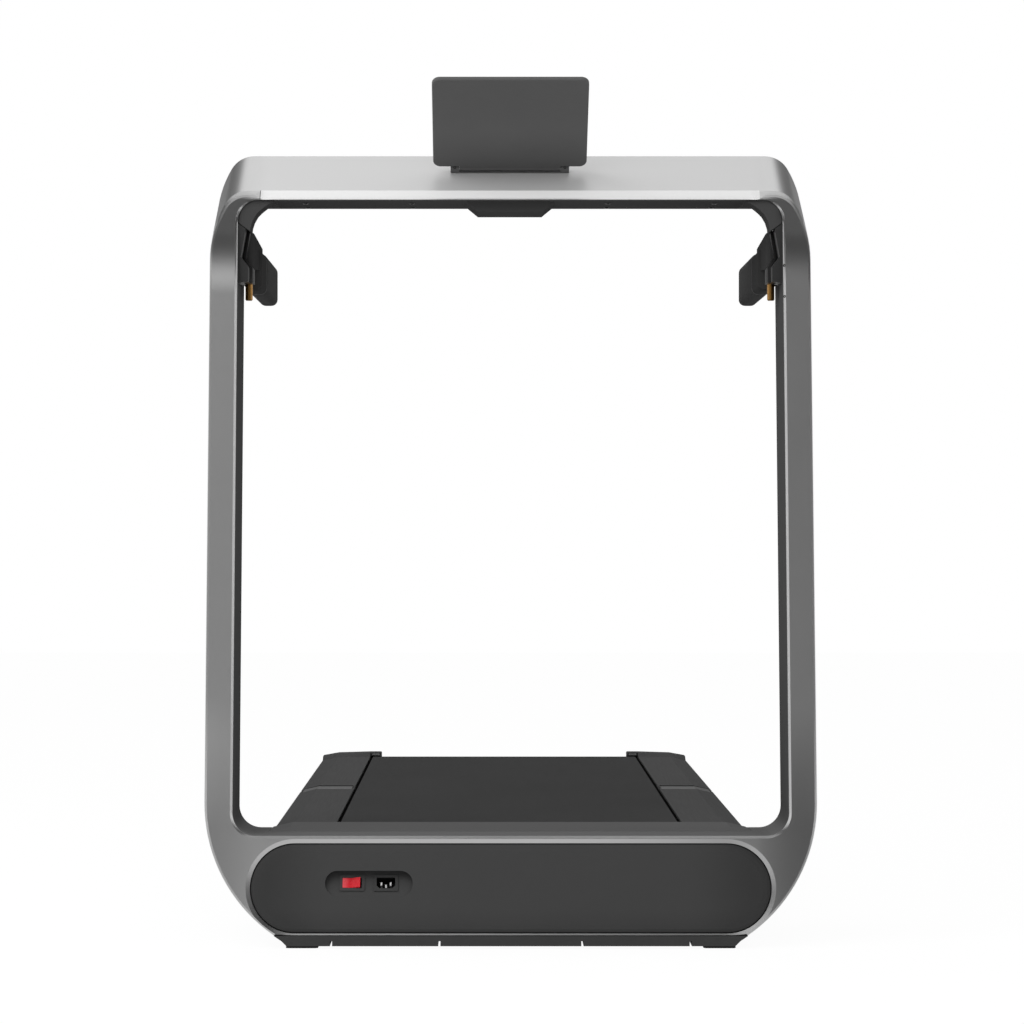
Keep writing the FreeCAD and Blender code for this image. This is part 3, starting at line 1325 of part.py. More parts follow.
def guide_clip(grow):
    """Small metal clip let into the front of the right cap's hook."""
    front = RAIL_BACK + CAP_RAMP
    middle = RAIL_IN - CAP_HOOK / 2
    half, tall_half = GUIDE_WIDE / 2 + grow, GUIDE_TALL / 2 + grow
    height = RAIL_TOP + CAP_RISE - CAP_HOOK_THICK / 2
    return box(middle - half, middle + half, front - grow, front + GUIDE_THICK + grow, height - tall_half,
               height + tall_half)


def tension_bolt(grow):
    """Right bolt that draws the rear axle back through the cap."""
    x = RAIL_IN + AXLE_WALL / 2
    back = LENGTH - CAP_ROUND / 2
    y = V(0, 1, 0)
    reach = REAR_ROLLER_Y + AXLE_R + SLIP
    shank = Part.makeCylinder(BOLT_R + grow, back - reach, V(x, reach, ROLLER_Z), y)
    head = Part.makeCylinder(BOLT_HEAD_R + grow, BOLT_HEAD + grow, V(x, back - BOLT_HEAD, ROLLER_Z), y)
    if grow:
        return shank.fuse(head)
    socket = Part.makeCylinder(BOLT_R, BOLT_HEAD, V(x, back - BOLT_HEAD / 2, ROLLER_Z), y)
    return shank.fuse(head).cut(socket)


def make_rear_axle():
    half = RAIL_IN + AXLE_WALL - FIT
    return rod(AXLE_R, -half, half, REAR_ROLLER_Y, ROLLER_Z)


def build():
    """Every piece by its name, in the machine's own frame."""
    loop = loop_solid()
    right_upright = make_upright(loop)
    handle, grip = make_handle(), make_grip()
    wheel = make_wheel()
    front_rail, rear_rail = make_front_rail(), make_rear_rail()
    return {
        "lower_frame": make_lower_frame(loop),
        "left_upright": mirrored(right_upright),
        "right_upright": right_upright,
        "top_crossbar": make_top_crossbar(loop),
        "front_cover": make_front_cover(),
        "base_top_cover": make_base_top_cover(),
        "base_pan": make_base_pan(),
        "base_feet": make_base_feet(),
        "controller_board": make_controller_board(),
        "switch_bezel": make_switch_bezel(),
        "power_rocker": make_power_rocker(),
        "power_inlet": make_power_inlet(),
        "inlet_pins": make_inlet_pins(),
        "transport_wheel_left": mirrored(wheel),
        "transport_wheel_right": wheel,
        "wheel_axles": pair(wheel_axle(WHEEL_AXLE_R, 0)),
        "console_bottom_cover": make_console_bottom_cover(),
        "console_board": make_console_board(),
        "display_window": display_plate(0, DISPLAY_THICK),
        "speed_knob": make_speed_knob(),
        "key_socket": make_key_socket(),
        "safety_key": make_safety_key(),
        "tablet_hinge_base": make_tablet_hinge_base(),
        "tablet_hinge_pin": make_tablet_hinge_pin(),
        "tablet_plate": make_tablet_plate(),
        "tablet_pads": make_tablet_pads(),
        "handle_brackets": pair(handle_bracket()),
        "handle_pins": pair(handle_pin()),
        "handle_left": mirrored(handle),
        "handle_right": handle,
        "grip_left": mirrored(grip),
        "grip_right": grip,
        "hinge_lugs": pair(hinge_lug()),
        "deck_hinge_pins": pair(hinge_pin()),
        "front_rail_left": mirrored(front_rail),
        "front_rail_right": front_rail,
        "front_deck_board": make_front_deck_board(),
        "front_frame": make_front_frame(),
        "front_feet": pair(deck_foot(SEAM_Y - DECK_FOOT_INSET)),
        "motor_cover": make_motor_cover(),
        "motor_body": make_motor_body(),
        "motor_rotor": make_motor_rotor(),
        "drive_belt": make_drive_belt(),
        "front_roller": make_front_roller(),
        "front_axle": make_front_axle(),
        "front_idler": make_idler(SEAM_Y - IDLER_BACK),
        "belt_front": make_belt_front(),
        "fold_links": pair(fold_link()),
        "fold_pins": make_fold_pins(),
        "rear_rail_left": mirrored(rear_rail),
        "rear_rail_right": rear_rail,
        "rear_crossbars": make_rear_crossbars(),
        "rear_deck_board": make_rear_deck_board(),
        "rear_roller": roller(REAR_ROLLER_Y),
        "rear_axle": make_rear_axle(),
        "rear_idler": make_idler(SEAM_Y + IDLER_BACK),
        "belt_rear": make_belt_rear(),
        "rear_end_caps": pair(make_rear_end_cap()),
        "rear_feet": pair(deck_foot(RAIL_BACK - DECK_FOOT_TOP / 2)),
        "tension_hardware": Part.makeCompound([pair(tension_bolt(0)), pair(guide_clip(0))]),
    }


PIECES = build()
os.makedirs("parts", exist_ok=True)
for name, shape in PIECES.items():
    # The machine's origin is on the floor under its middle
    placed = shape.copy()
    placed.translate(V(0, -LENGTH / 2, 0))
    placed.exportStep("parts/" + name + ".step")
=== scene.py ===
import math

import bmesh
import bpy
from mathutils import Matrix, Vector


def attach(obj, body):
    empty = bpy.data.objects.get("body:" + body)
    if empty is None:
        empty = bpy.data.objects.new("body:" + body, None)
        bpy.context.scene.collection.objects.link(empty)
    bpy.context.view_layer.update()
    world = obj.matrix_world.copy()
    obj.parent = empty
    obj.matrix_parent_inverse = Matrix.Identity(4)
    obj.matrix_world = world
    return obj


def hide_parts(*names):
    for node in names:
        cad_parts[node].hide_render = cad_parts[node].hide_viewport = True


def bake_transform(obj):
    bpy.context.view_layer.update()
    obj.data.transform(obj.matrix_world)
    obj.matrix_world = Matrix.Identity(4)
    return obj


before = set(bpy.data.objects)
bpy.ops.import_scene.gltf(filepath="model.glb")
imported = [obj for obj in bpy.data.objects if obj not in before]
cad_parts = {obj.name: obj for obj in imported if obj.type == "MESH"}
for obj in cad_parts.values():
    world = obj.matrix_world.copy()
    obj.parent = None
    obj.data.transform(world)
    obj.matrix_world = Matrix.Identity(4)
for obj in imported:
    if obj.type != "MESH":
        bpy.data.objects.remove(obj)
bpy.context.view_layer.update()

# Loop frame: base beam, two uprights and top bar of one leaning loop.
# Aluminium extrusions, bent and welded, bead blasted and anodised a satin grey,
# with a dark moulded liner pressed in all round the inside of the opening.


class Wire:
    """A shader socket, so that a pattern is written as a sum of others."""

    def __init__(self, socket):
        self.socket = socket

    def node(self, kind, settings, values, out=0):
        tree = self.socket.id_data
        made = tree.nodes.new(kind)
        for key, value in settings.items():
            if key == "stops":
                ramp = made.color_ramp.elements
                while len(ramp) < len(value):
                    ramp.new(1.0)
                for stop, (position, colour) in zip(ramp, value):
                    stop.position = position
                    stop.color = colour
            else:
                setattr(made, key, value)
        for key, value in values.items():
            if isinstance(value, Wire):
                tree.links.new(value.socket, made.inputs[key])
            else:
                made.inputs[key].default_value = value
        return Wire(made.outputs[out])

    def math(self, operation, *terms):
        return self.node("ShaderNodeMath", {"operation": operation}, dict(enumerate(terms)))

    def __add__(self, other):
        return self.math("ADD", self, other)

    def __sub__(self, other):
        return self.math("SUBTRACT", self, other)

    def __rsub__(self, other):
        return self.math("SUBTRACT", other, self)

    def __mul__(self, other):
        return self.math("MULTIPLY", self, other)

    def __abs__(self):
        return self.math("ABSOLUTE", self)

    __radd__ = __add__
    __rmul__ = __mul__

    def over(self, other):
        return self.math("MAXIMUM", self, other)

    def under(self, other):
        return self.math("MINIMUM", self, other)

    def hypot(self, other):
        """The distance that two offsets at right angles come to."""
        return self.math("SQRT", self * self + other * other)

    def wave(self, length):
        """A sine of this distance, from -1 to 1, that repeats after a length."""
        return self.math("SINE", self * (2 * math.pi / length))

    def step(self, low, high):
        """0 up to one value, 1 from the other on, smooth between them."""
        ends = {"Value": self, "From Min": low, "From Max": high}
        return self.node("ShaderNodeMapRange", {"interpolation_type": "SMOOTHSTEP"}, ends)

    def parts(self):
        """The x, y and z of a vector."""
        split = self.node("ShaderNodeSeparateXYZ", {}, {"Vector": self}).socket.node
        return [Wire(out) for out in split.outputs]

    def stretched(self, x, y, z):
        return self.node("ShaderNodeMapping", {}, {"Vector": self, "Scale": (x, y, z)})

    def grain(self, size, detail=2.0):
        """Noise from 0 to 1 whose spots are about one size, in metres."""
        spots = {"Vector": self, "Scale": 1 / size, "Detail": detail}
        return self.node("ShaderNodeTexNoise", {}, spots)

    def between(self, low, high):
        """One colour where this is 0, the other where it is 1."""
        ends = {0: self, 6: low, 7: high}
        return self.node("ShaderNodeMix", {"data_type": "RGBA"}, ends, out=2)

    def between_normals(self, low, high):
        """One normal where this is 0, the other where it is 1."""
        ends = {0: self, 4: low, 5: high}
        return self.node("ShaderNodeMix", {"data_type": "VECTOR"}, ends, out=1)

    def relief(self, depth):
        """This value as height over the surface, 1 being a depth in metres."""
        return self.node("ShaderNodeBump", {}, {"Height": self, "Distance": depth})

    def into(self, shader, socket):
        self.socket.id_data.links.new(self.socket, shader.inputs[socket])


def tint(red, green=None, blue=None):
    """A colour as it is read off a picture, 0 to 255, as the light it sends back."""
    seen = (red, red if green is None else green, red if blue is None else blue)
    return tuple(((level / 255 + 0.055) / 1.055) ** 2.4 for level in seen) + (1.0,)


def new_finish(name, **constants):
    """A material, its shader with its constants set, and the piece's own coordinates."""
    material = bpy.data.materials.new(name)
    material.use_nodes = True
    shader = material.node_tree.nodes["Principled BSDF"]
    for socket, value in constants.items():
        shader.inputs[socket.replace("_", " ")].default_value = value
    place = material.node_tree.nodes.new("ShaderNodeTexCoord")
    return material, shader, Wire(place.outputs["Object"])


def dress(material, *nodes):
    for name in nodes:
        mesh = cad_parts[name].data
        mesh.materials.clear()
        mesh.materials.append(material)


LEAN = math.radians(6.36)
LEAN_RATE = math.tan(LEAN)
FRONT_Y = -0.710
LOOP_DEEP = 0.105
OPENING_HALF = 0.330
OPENING_LOW = 0.132
OPENING_HIGH = 0.8945
OPENING_ROUND_HIGH = 0.025
OPENING_ROUND_LOW = 0.027
LINER_EDGE = (0.0003, 0.0007)
LINER_LEDGE = (0.133, 0.150)
LIP_HALF = 0.3035
LIP_DEEP = 0.0103
LINE_BLUR = 0.0003
MATT_ENDS = (0.295, 0.335)
FRONT_EDGE = (0.0008, 0.0025)
FRONT_SIDES = (0.285, 0.300)
TOP_BAND = (0.865, 0.885)
TOP_DEEPER = 0.008
CORNER_FROM = 0.780
CORNER_TO = 0.855
CORNER_CROWN = 3.1
FOOT_BAND = (0.14, 0.30)
FOOT_CROWN = 1.5
BLAST_DEPTH = 0.00003

aluminium, shader, place = new_finish("bead_blasted_aluminium")
x, y, z = place.parts()
opening_mid, opening_reach = (OPENING_HIGH + OPENING_LOW) / 2, (OPENING_HIGH - OPENING_LOW) / 2
curve = OPENING_ROUND_LOW + z.step(0.4, 0.6) * (OPENING_ROUND_HIGH - OPENING_ROUND_LOW)
aside = (abs(x) - OPENING_HALF + curve).over(0.0)
above = (abs(z - opening_mid) - opening_reach + curve).over(0.0)
liner = 1 - (aside.hypot(above) - curve).step(*LINER_EDGE)
behind_front = y - FRONT_Y - z * LEAN_RATE
in_lip = 1 - behind_front.step(LIP_DEEP, LIP_DEEP + LINE_BLUR)
lip = in_lip * (1 - abs(x).step(LIP_HALF - 0.001, LIP_HALF))
lip = lip * z.step(OPENING_HIGH - LINE_BLUR, OPENING_HIGH)
joint = in_lip * (1 - abs(x + LIP_HALF).step(LINE_BLUR, 2 * LINE_BLUR))
joint = joint * z.step(OPENING_HIGH, OPENING_HIGH + 0.001)
blast = place.grain(0.0004, 1.0)
matt = z.step(OPENING_HIGH, OPENING_HIGH + 0.003) * (1 - abs(x).step(*MATT_ENDS))
bare = place.grain(0.11).between(tint(176), tint(182))
bare = matt.between(bare, tint(200))
# The lip along the top's front edge is a lighter, almost non-metallic strip: a painted highlight
# for that lit edge.
bare = lip.between(bare, tint(232))
joint.between(bare, tint(70)).into(shader, "Base Color")
(1 - matt * 0.8 - lip * 0.18).over(0.0).into(shader, "Metallic")
(blast * 0.05 + 0.27 + matt * 0.16).into(shader, "Roughness")
flat = blast.relief(BLAST_DEPTH)
bend = (z - CORNER_FROM).over(0.0).under(CORNER_TO - CORNER_FROM)
crown = (z - CORNER_FROM).over(0.0) * 2 - bend
turned_out = (abs(x) - FRONT_SIDES[0]).over(0.0)
turned_out = turned_out * turned_out * (1 - z.step(*FOOT_BAND)) * FOOT_CROWN
crowned = (blast * BLAST_DEPTH - bend * crown * CORNER_CROWN - turned_out).relief(1.0)
deeper = behind_front - z.step(*TOP_BAND) * TOP_DEEPER
on_front = (1 - deeper.step(*FRONT_EDGE)) * abs(x).step(*FRONT_SIDES)
on_front.between_normals(flat, crowned).into(shader, "Normal")
# The liner is lighter along the floor of the opening than up its sides: painted light on its
# upward-facing ledge.
lining_lit_ledge = z.step(*LINER_LEDGE).between(tint(104), tint(80))
inside = place.node("ShaderNodeBsdfPrincipled", {},
                    {"Base Color": lining_lit_ledge, "Roughness": 0.8, "Specular IOR Level": 0.0})
metal = Wire(shader.outputs[0])
pressed_in = liner.node("ShaderNodeMixShader", {}, {0: liner, 1: metal, 2: inside})
pressed_in.into(aluminium.node_tree.nodes["Material Output"], "Surface")
dress(aluminium, "lower_frame", "left_upright", "right_upright", "top_crossbar")

# Dark covers over the base, the motor and the console, and the frames of switch and inlet.
# Injection-moulded black plastic with a fine spark-eroded grain,
# clipped and screwed to the frame from below.

COVER_ENDS = (0.20, 0.31)
COVER_FRONT = (-0.68, -0.67)
COVER_FOOT = (0.02, 0.05)
HOLLOW_EDGE = (-0.0008, -0.0002)
POCKET_DEEP = 0.0065
POCKET_UP = 0.07675
POCKET_TURN = math.radians(23.782) + LEAN
POCKET_Y = FRONT_Y + POCKET_DEEP * math.cos(LEAN) + POCKET_UP * math.sin(LEAN)
POCKET_Z = POCKET_UP * math.cos(LEAN) - POCKET_DEEP * math.sin(LEAN)


def grained_finish(name, tints, spots, rough, rougher, grain, pits, depth, detail=2.0, **constants):
    """A material in two close tints that lie in spots, with a grain in its sheen and in its face.

    The sheen runs from rough to rough and rougher, and the face has pits of a depth.
    Sizes of spots, grain and pits, and the depth, are in metres."""
    material, shader, place = new_finish(name, **constants)
    place.grain(spots).between(*tints).into(shader, "Base Color")
    (place.grain(grain, detail) * rougher + rough).into(shader, "Roughness")
    place.grain(pits, detail).relief(depth).into(shader, "Normal")
    return material


moulded, shader, place = new_finish("moulded_black_plastic", Specular_IOR_Level=0.2)
x, y, z = place.parts()
pebble = place.grain(0.0011, 3.0)
# The cover is darker at its ends, where its face turns away, and along its foot: painted shade.
ends = abs(x).step(*COVER_ENDS) * (1 - y.step(*COVER_FRONT))
shade = (ends + (1 - z.step(*COVER_FOOT)) * 0.4 + place.grain(0.07) * 0.2).under(1.0)
shade.between(tint(66), tint(54)).into(shader, "Base Color")
(pebble * 0.18 + 0.45).into(shader, "Roughness")
pebble.relief(0.00006).into(shader, "Normal")
dress(moulded, "front_cover", "base_top_cover", "motor_cover", "switch_bezel")

inlet_plastic, shader, place = new_finish("inlet_plastic", Specular_IOR_Level=0.12)
x, y, z = place.parts()
sunk = (y - POCKET_Y) * math.cos(POCKET_TURN) - (z - POCKET_Z) * math.sin(POCKET_TURN)
# The inlet's hollow, deeper than the face of the pocket, is painted near black: painted shade in
# the recess.
hollow = sunk.step(*HOLLOW_EDGE)
hollow.between(tint(62), tint(16)).into(shader, "Base Color")
(place.grain(0.001) * 0.2 + 0.45).into(shader, "Roughness")
place.grain(0.0011).relief(0.00005).into(shader, "Normal")
dress(inlet_plastic, "power_inlet")

under_plastic = grained_finish(
    "console_under_plastic", (tint(68), tint(74)), spots=0.07, rough=0.5, rougher=0.18,
    grain=0.0011, pits=0.0011, depth=0.00006, detail=3.0, Specular_IOR_Level=0.0)
dress(under_plastic, "console_bottom_cover")

# Base pan: the black tray that closes the beam from below and flares out to the floor.
# Moulded in a coarser recycled plastic, with slits along its front edge,
# and held by screws into the beam.

pan_plastic = grained_finish(
    "pan_plastic", (tint(58), tint(64)), spots=0.03, rough=0.5, rougher=0.2,
    grain=0.0018, pits=0.0018, depth=0.00009, detail=3.0, Specular_IOR_Level=0.15)
dress(pan_plastic, "base_pan")

# Feet under the base and under both halves of the deck.
# Moulded rubber blocks with a fine crosswise rib on the sole,
# pushed into pockets or screwed on from below.

SOLE_RIB = 0.004
SOLE_EDGE = (0.004, 0.008)

foot_rubber, shader, place = new_finish("foot_rubber", Specular_IOR_Level=0.25)
x, y, z = place.parts()
sole = y.wave(SOLE_RIB) * (1 - z.step(*SOLE_EDGE))
place.grain(0.012).between(tint(38), tint(44)).into(shader, "Base Color")
(place.grain(0.002) * 0.2 + 0.65).into(shader, "Roughness")
(sole * 0.5 + place.grain(0.0015)).relief(0.0002).into(shader, "Normal")
dress(foot_rubber, "base_feet", "front_feet", "rear_feet")

# Rocker switch and key socket: a red rocker in the switch's frame, and a black socket.
# Both are moulded in a glossy polycarbonate; the rocker tips on two pins inside its frame,
# and the socket is snapped into the top bar.

HIGHLIGHT_EDGE = (-0.198, -0.190)

rocker_red, shader, place = new_finish(
    "rocker_red", Specular_IOR_Level=0.3, Coat_Weight=0.15, Coat_Roughness=0.1)
x, y, z = place.parts()
# The rocker is lighter and pinker on its left part: a painted highlight.
painted_highlight = (1 - x.step(*HIGHLIGHT_EDGE)) * 0.6 + place.grain(0.006) * 0.05
painted_highlight.between(tint(204, 24, 38), tint(232, 92, 100)).into(shader, "Base Color")
(place.grain(0.003) * 0.1 + 0.22).into(shader, "Roughness")
place.grain(0.0012).relief(0.000004).into(shader, "Normal")
dress(rocker_red, "power_rocker")

gloss_black = grained_finish(
    "gloss_black_plastic", (tint(20), tint(26)), spots=0.01, rough=0.28, rougher=0.14,
    grain=0.002, pits=0.0012, depth=0.00002, Specular_IOR_Level=0.4)
dress(gloss_black, "key_socket")

# Bright metal: axles, hinge and fold pins, rollers, belt tensioners and the motor's rotor.
# Turned steel bar with the fine rings of the lathe tool, pressed into place or held by clips;
# the inlet's pins are stamped from strip and nickel plated.

turned_steel, shader, place = new_finish("turned_steel", Metallic=1.0)
rings = place.stretched(1.0, 0.02, 0.02).grain(0.0006)
place.grain(0.04).between(tint(188), tint(202)).into(shader, "Base Color")
(rings * 0.16 + 0.2).into(shader, "Roughness")
rings.relief(0.00003).into(shader, "Normal")
dress(turned_steel, "wheel_axles", "deck_hinge_pins", "tablet_hinge_pin", "fold_pins",
      "front_axle", "rear_axle", "front_roller", "rear_roller", "front_idler", "rear_idler",
      "motor_rotor", "tension_hardware")

nickel, shader, place = new_finish("nickel_plate", Metallic=0.2)
place.grain(0.004).between(tint(236), tint(244)).into(shader, "Base Color")
(place.grain(0.001) * 0.1 + 0.3).into(shader, "Roughness")
dress(nickel, "inlet_pins")

# Circuit boards: the motor controller in the base and the console's display board.
# Glass-fibre boards with green lacquer over copper tracks;
# the controller carries an extruded aluminium heat sink.

TRACKS_ACROSS = 0.0024
TRACKS_ALONG = 0.0036
SINK_FROM = (0.0236, 0.024)
SINK_TO = (0.2, 0.3)

board_green, shader, place = new_finish("lacquered_board")
x, y, z = place.parts()
tracks = (abs(x.wave(TRACKS_ACROSS)) * abs((y + z).wave(TRACKS_ALONG))).step(0.72, 0.8)
sink = z.step(*SINK_FROM) * (1 - z.step(*SINK_TO))
lacquer = tracks.between(tint(22, 74, 48), tint(52, 116, 76))
sink.between(lacquer, tint(150)).into(shader, "Base Color")
(sink * 0.9).into(shader, "Metallic")
(place.grain(0.003) * 0.12 + 0.34).into(shader, "Roughness")
tracks.relief(0.00005).into(shader, "Normal")
dress(board_green, "controller_board", "console_board")

# Transport wheels: solid grey wheels half sunk into the back of the base beam.
# Nylon hubs with a softer tyre moulded over them,
# free to turn on short steel axles.

WHEEL_Y = -0.624882
WHEEL_Z = 0.021
TYRE_R = 0.0145
TREAD = 0.003

wheel_nylon, shader, place = new_finish("wheel_nylon_and_tyre", Specular_IOR_Level=0.35)
x, y, z = place.parts()
out = (y - WHEEL_Y).hypot(z - WHEEL_Z)
tyre = out.step(TYRE_R, TYRE_R + 0.0004)
tyre.between(tint(96), tint(40)).into(shader, "Base Color")
(place.grain(0.002) * 0.15 + 0.4 + tyre * 0.2).into(shader, "Roughness")
(tyre * x.wave(TREAD) * 0.4 + place.grain(0.0012)).relief(0.00008).into(shader, "Normal")
dress(wheel_nylon, "transport_wheel_left", "transport_wheel_right")

# Console: a black glass window in the back of the top bar, with lit figures behind it.
# Tempered glass bonded flush into the aluminium;
# the figures are seven-bar digits that show through the glass.

DISPLAY_X = -0.0625
DISPLAY_Z = 0.9295
DIGIT_WIDE = 0.009
DIGIT_TALL = 0.018
DIGIT_BAR = 0.0022
DIGIT_GAP = 0.0004
DIGIT_STEP = 0.0145
DIGIT_PROUD = 0.0002
DOTS = {":": (0.35, 0.65), ".": (0.06,)}


def new_piece(name, mesh, material):
    piece = bpy.data.objects.new(name, mesh)
    bpy.context.scene.collection.objects.link(piece)
    mesh.materials.clear()
    mesh.materials.append(material)
    return piece


def close_mesh(name, shape, sharp=35):
    """A built shape as a mesh, smooth over its rounds and sharp at its edges."""
    bmesh.ops.remove_doubles(shape, verts=shape.verts, dist=1e-7)
    bmesh.ops.recalc_face_normals(shape, faces=shape.faces)
    for face in shape.faces:
        face.smooth = True
    mesh = bpy.data.meshes.new(name)
    shape.to_mesh(mesh)
    shape.free()
    mesh.set_sharp_from_angle(angle=math.radians(sharp))
    return mesh


def on_back(across, height, proud=0.0):
    """A point of the loop's leaning back plane, or proud of it."""
    depth = height * LEAN_RATE + LOOP_DEEP + FRONT_Y
    return Vector((across, depth + proud * math.cos(LEAN), height - proud * math.sin(LEAN)))


def join_rings(shape, ring, later):
    """The faces between two rings of as many corners."""
    for here in range(len(ring)):
        after = (here + 1) % len(ring)
        shape.faces.new((ring[here], ring[after], later[after], later[here]))


def add_slab(shape, outline, low, high):
    """A thin slab on the back plane: an outline of across and height, from low to high proud."""
    rings = [[shape.verts.new(on_back(across, height, proud)) for across, height in outline]
             for proud in (low, high)]
    for ring in rings:
        shape.faces.new(ring)
    join_rings(shape, *rings)


def rectangle(left, right, low, high):
    return [(left, low), (right, low), (right, high), (left, high)]


def digit_bar(left, low, flat):
    """The pointed outline of one bar, lying or standing."""
    long = DIGIT_WIDE if flat else DIGIT_TALL / 2
    gap, half = DIGIT_GAP, DIGIT_BAR / 2
    line = [(gap, 0), (gap + half, half), (long - gap - half, half), (long - gap, 0),
            (long - gap - half, -half), (gap + half, -half)]
    return [(left + a, low + b) if flat else (left + b, low + a) for a, b in line]


glass_black, shader, place = new_finish("display_glass", Specular_IOR_Level=0.3)
place.grain(0.03).between(tint(10), tint(14)).into(shader, "Base Color")
(place.grain(0.02) * 0.05 + 0.1).into(shader, "Roughness")
dress(glass_black, "display_window")

digit_light, shader, place = new_finish("digit_light", Emission_Strength=0.9, Roughness=0.3)
place.grain(0.004).between(tint(196, 216, 226), tint(220, 234, 240)).into(shader, "Emission Color")
place.grain(0.004).between(tint(150, 170, 180), tint(160, 180, 190)).into(shader, "Base Color")

digits = bmesh.new()
start = DISPLAY_X
low = DISPLAY_Z - DIGIT_TALL / 2
middle, top, half = low + DIGIT_TALL / 2, low + DIGIT_TALL, DIGIT_BAR / 2
for sign in "00:0  0.0":
    lit = []
    if sign == "0":
        right = start + DIGIT_WIDE
        lit = [digit_bar(*bar) for bar in (
            (start, top, True), (start, middle, False), (start, low, False),
            (start, low, True), (right, low, False), (right, middle, False))]
    for dot in DOTS.get(sign, ()):
        across, height = start + DIGIT_WIDE / 2, low + dot * DIGIT_TALL
        lit.append(rectangle(across - half, across + half, height - half, height + half))
    for outline in lit:
        add_slab(digits, outline, -DIGIT_PROUD, DIGIT_PROUD)
    start += DIGIT_STEP
mesh = close_mesh("display_digits", digits)
piece = new_piece("display_digits", mesh, digit_light)
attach(piece, "base")

# Speed knob and safety key beside the window.
# The knob is turned and knurled aluminium with a pointer line that glows, painted light;
# the key is a red moulded tongue that pulls straight out of its socket.

KNOB_X = 0.160
KNOB_Z = 0.92845
KNOB_FACE = 0.0089
TOOL_STEP = 0.0005
POINTER_HALF = 0.0008
POINTER_FROM = 0.005
POINTER_TO = 0.0125
POINTER_SUNK = 0.0004
POINTER_PROUD = 0.0003

knob_metal, shader, place = new_finish("turned_knob", Metallic=1.0)
x, y, z = place.parts()
turning = (x - KNOB_X).hypot(z - KNOB_Z).wave(TOOL_STEP)
place.grain(0.02).between(tint(120), tint(132)).into(shader, "Base Color")
(turning * 0.06 + 0.3).into(shader, "Roughness")
turning.relief(0.00001).into(shader, "Normal")
dress(knob_metal, "speed_knob")

dress(rocker_red, "safety_key")

pointer = bmesh.new()
line = rectangle(KNOB_X - POINTER_HALF, KNOB_X + POINTER_HALF,
                 KNOB_Z + POINTER_FROM, KNOB_Z + POINTER_TO)
add_slab(pointer, line, KNOB_FACE - POINTER_SUNK, KNOB_FACE + POINTER_PROUD)
mesh = close_mesh("knob_pointer", pointer)
# The pointer line is made in the digits' glowing material, so it glows: painted light.
piece = new_piece("knob_pointer", mesh, digit_light)
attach(piece, "speed_knob")

# Tablet rest: a flat plate leaning over the top bar on a friction hinge.
# Moulded dark grey plastic with a soft-touch lacquer, and two rubber pads that hold the tablet;
# the motor's drive belt is of the same rubber.

soft_touch = grained_finish(
    "soft_touch_plastic", (tint(86), tint(90)), spots=0.09, rough=0.52, rougher=0.12,
    grain=0.0007, pits=0.0007, depth=0.00001, detail=1.0, Specular_IOR_Level=0.3)
dress(soft_touch, "tablet_plate", "tablet_hinge_base")

soft_rubber = grained_finish(
    "soft_rubber", (tint(34), tint(40)), spots=0.008, rough=0.6, rougher=0.2,
    grain=0.001, pits=0.0008, depth=0.00002, Specular_IOR_Level=0.25)
dress(soft_rubber, "tablet_pads", "drive_belt")

# Steel brackets: handlebar brackets, deck hinge lugs, deck cross members and the motor's case.
# Pressed and laser-cut sheet, welded where needed,
# then powder coated black with a slight orange peel.

powder_coat = grained_finish(
    "powder_coat_black", (tint(40), tint(46)), spots=0.05, rough=0.36, rougher=0.12,
    grain=0.0016, pits=0.0016, depth=0.00006, detail=1.0, Specular_IOR_Level=0.4)
dress(powder_coat, "handle_brackets", "hinge_lugs", "front_frame", "rear_crossbars",
      "motor_body")

# Stop strips and corner gussets of the handlebar brackets.
# A black rubber strip lines the stepped edge that the handlebar closes on, and a moulded gusset
# fills the corner of the opening over it; both are pressed in place.

STRIP_EDGE = ((0.318, 0.7962), (0.318, 0.8142), (0.327, 0.8262), (0.321, 0.8598))
STRIP_WIDE = 0.004
STRIP_DEPTH = (-0.584, -0.570)
GUSSET_INNER = ((0.3297, 0.8665), (0.3209, 0.8606), (0.3155, 0.8566), (0.3148, 0.863),
                (0.313, 0.8705), (0.3086, 0.878), (0.3036, 0.883), (0.297, 0.8875),
                (0.287, 0.8935), (0.29, 0.8942))
GUSSET_ROUND = 0.0247
GUSSET_MID = (0.305, 0.8695)
GUSSET_DEPTH = (-0.607, -0.5695)
EDGE_ROUND = 0.0006


def prism_pair(name, outline, front, back):
    """A mesh of two prisms, left and right, from front to back with their edges rounded off.

    The outline is of points across and in height, for the right one."""
    shape = bmesh.new()
    for side in (-1, 1):
        rings = [[shape.verts.new((side * across, depth, height)) for across, height in outline]
                 for depth in (front, back)]
        caps = [shape.faces.new(ring) for ring in rings]
        join_rings(shape, *rings)
        rim = [edge for cap in caps for edge in cap.edges]
        bmesh.ops.bevel(shape, geom=rim, offset=EDGE_ROUND, segments=2, profile=0.5, affect="EDGES")
    return close_mesh(name, shape)


inner_edge = [(across - STRIP_WIDE, height) for across, height in reversed(STRIP_EDGE)]
mesh = prism_pair("stop_strips", list(STRIP_EDGE) + inner_edge, *STRIP_DEPTH)
piece = new_piece("stop_strips", mesh, gloss_black)
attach(piece, "base")

turns = [math.radians(turn) for turn in range(90, -1, -10)]
arc = [(GUSSET_MID[0] + GUSSET_ROUND * math.cos(turn),
        GUSSET_MID[1] + GUSSET_ROUND * math.sin(turn)) for turn in turns]
mesh = prism_pair("corner_gussets", list(GUSSET_INNER) + arc, *GUSSET_DEPTH)
piece = new_piece("corner_gussets", mesh, under_plastic)
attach(piece, "base")

# Handlebars: two flat bars that swing inward on brass pins.
# Extruded aluminium, hard anodised charcoal, with a rubber sleeve pushed on the rear end;
# ribs round the sleeve are moulded in one piece with it.

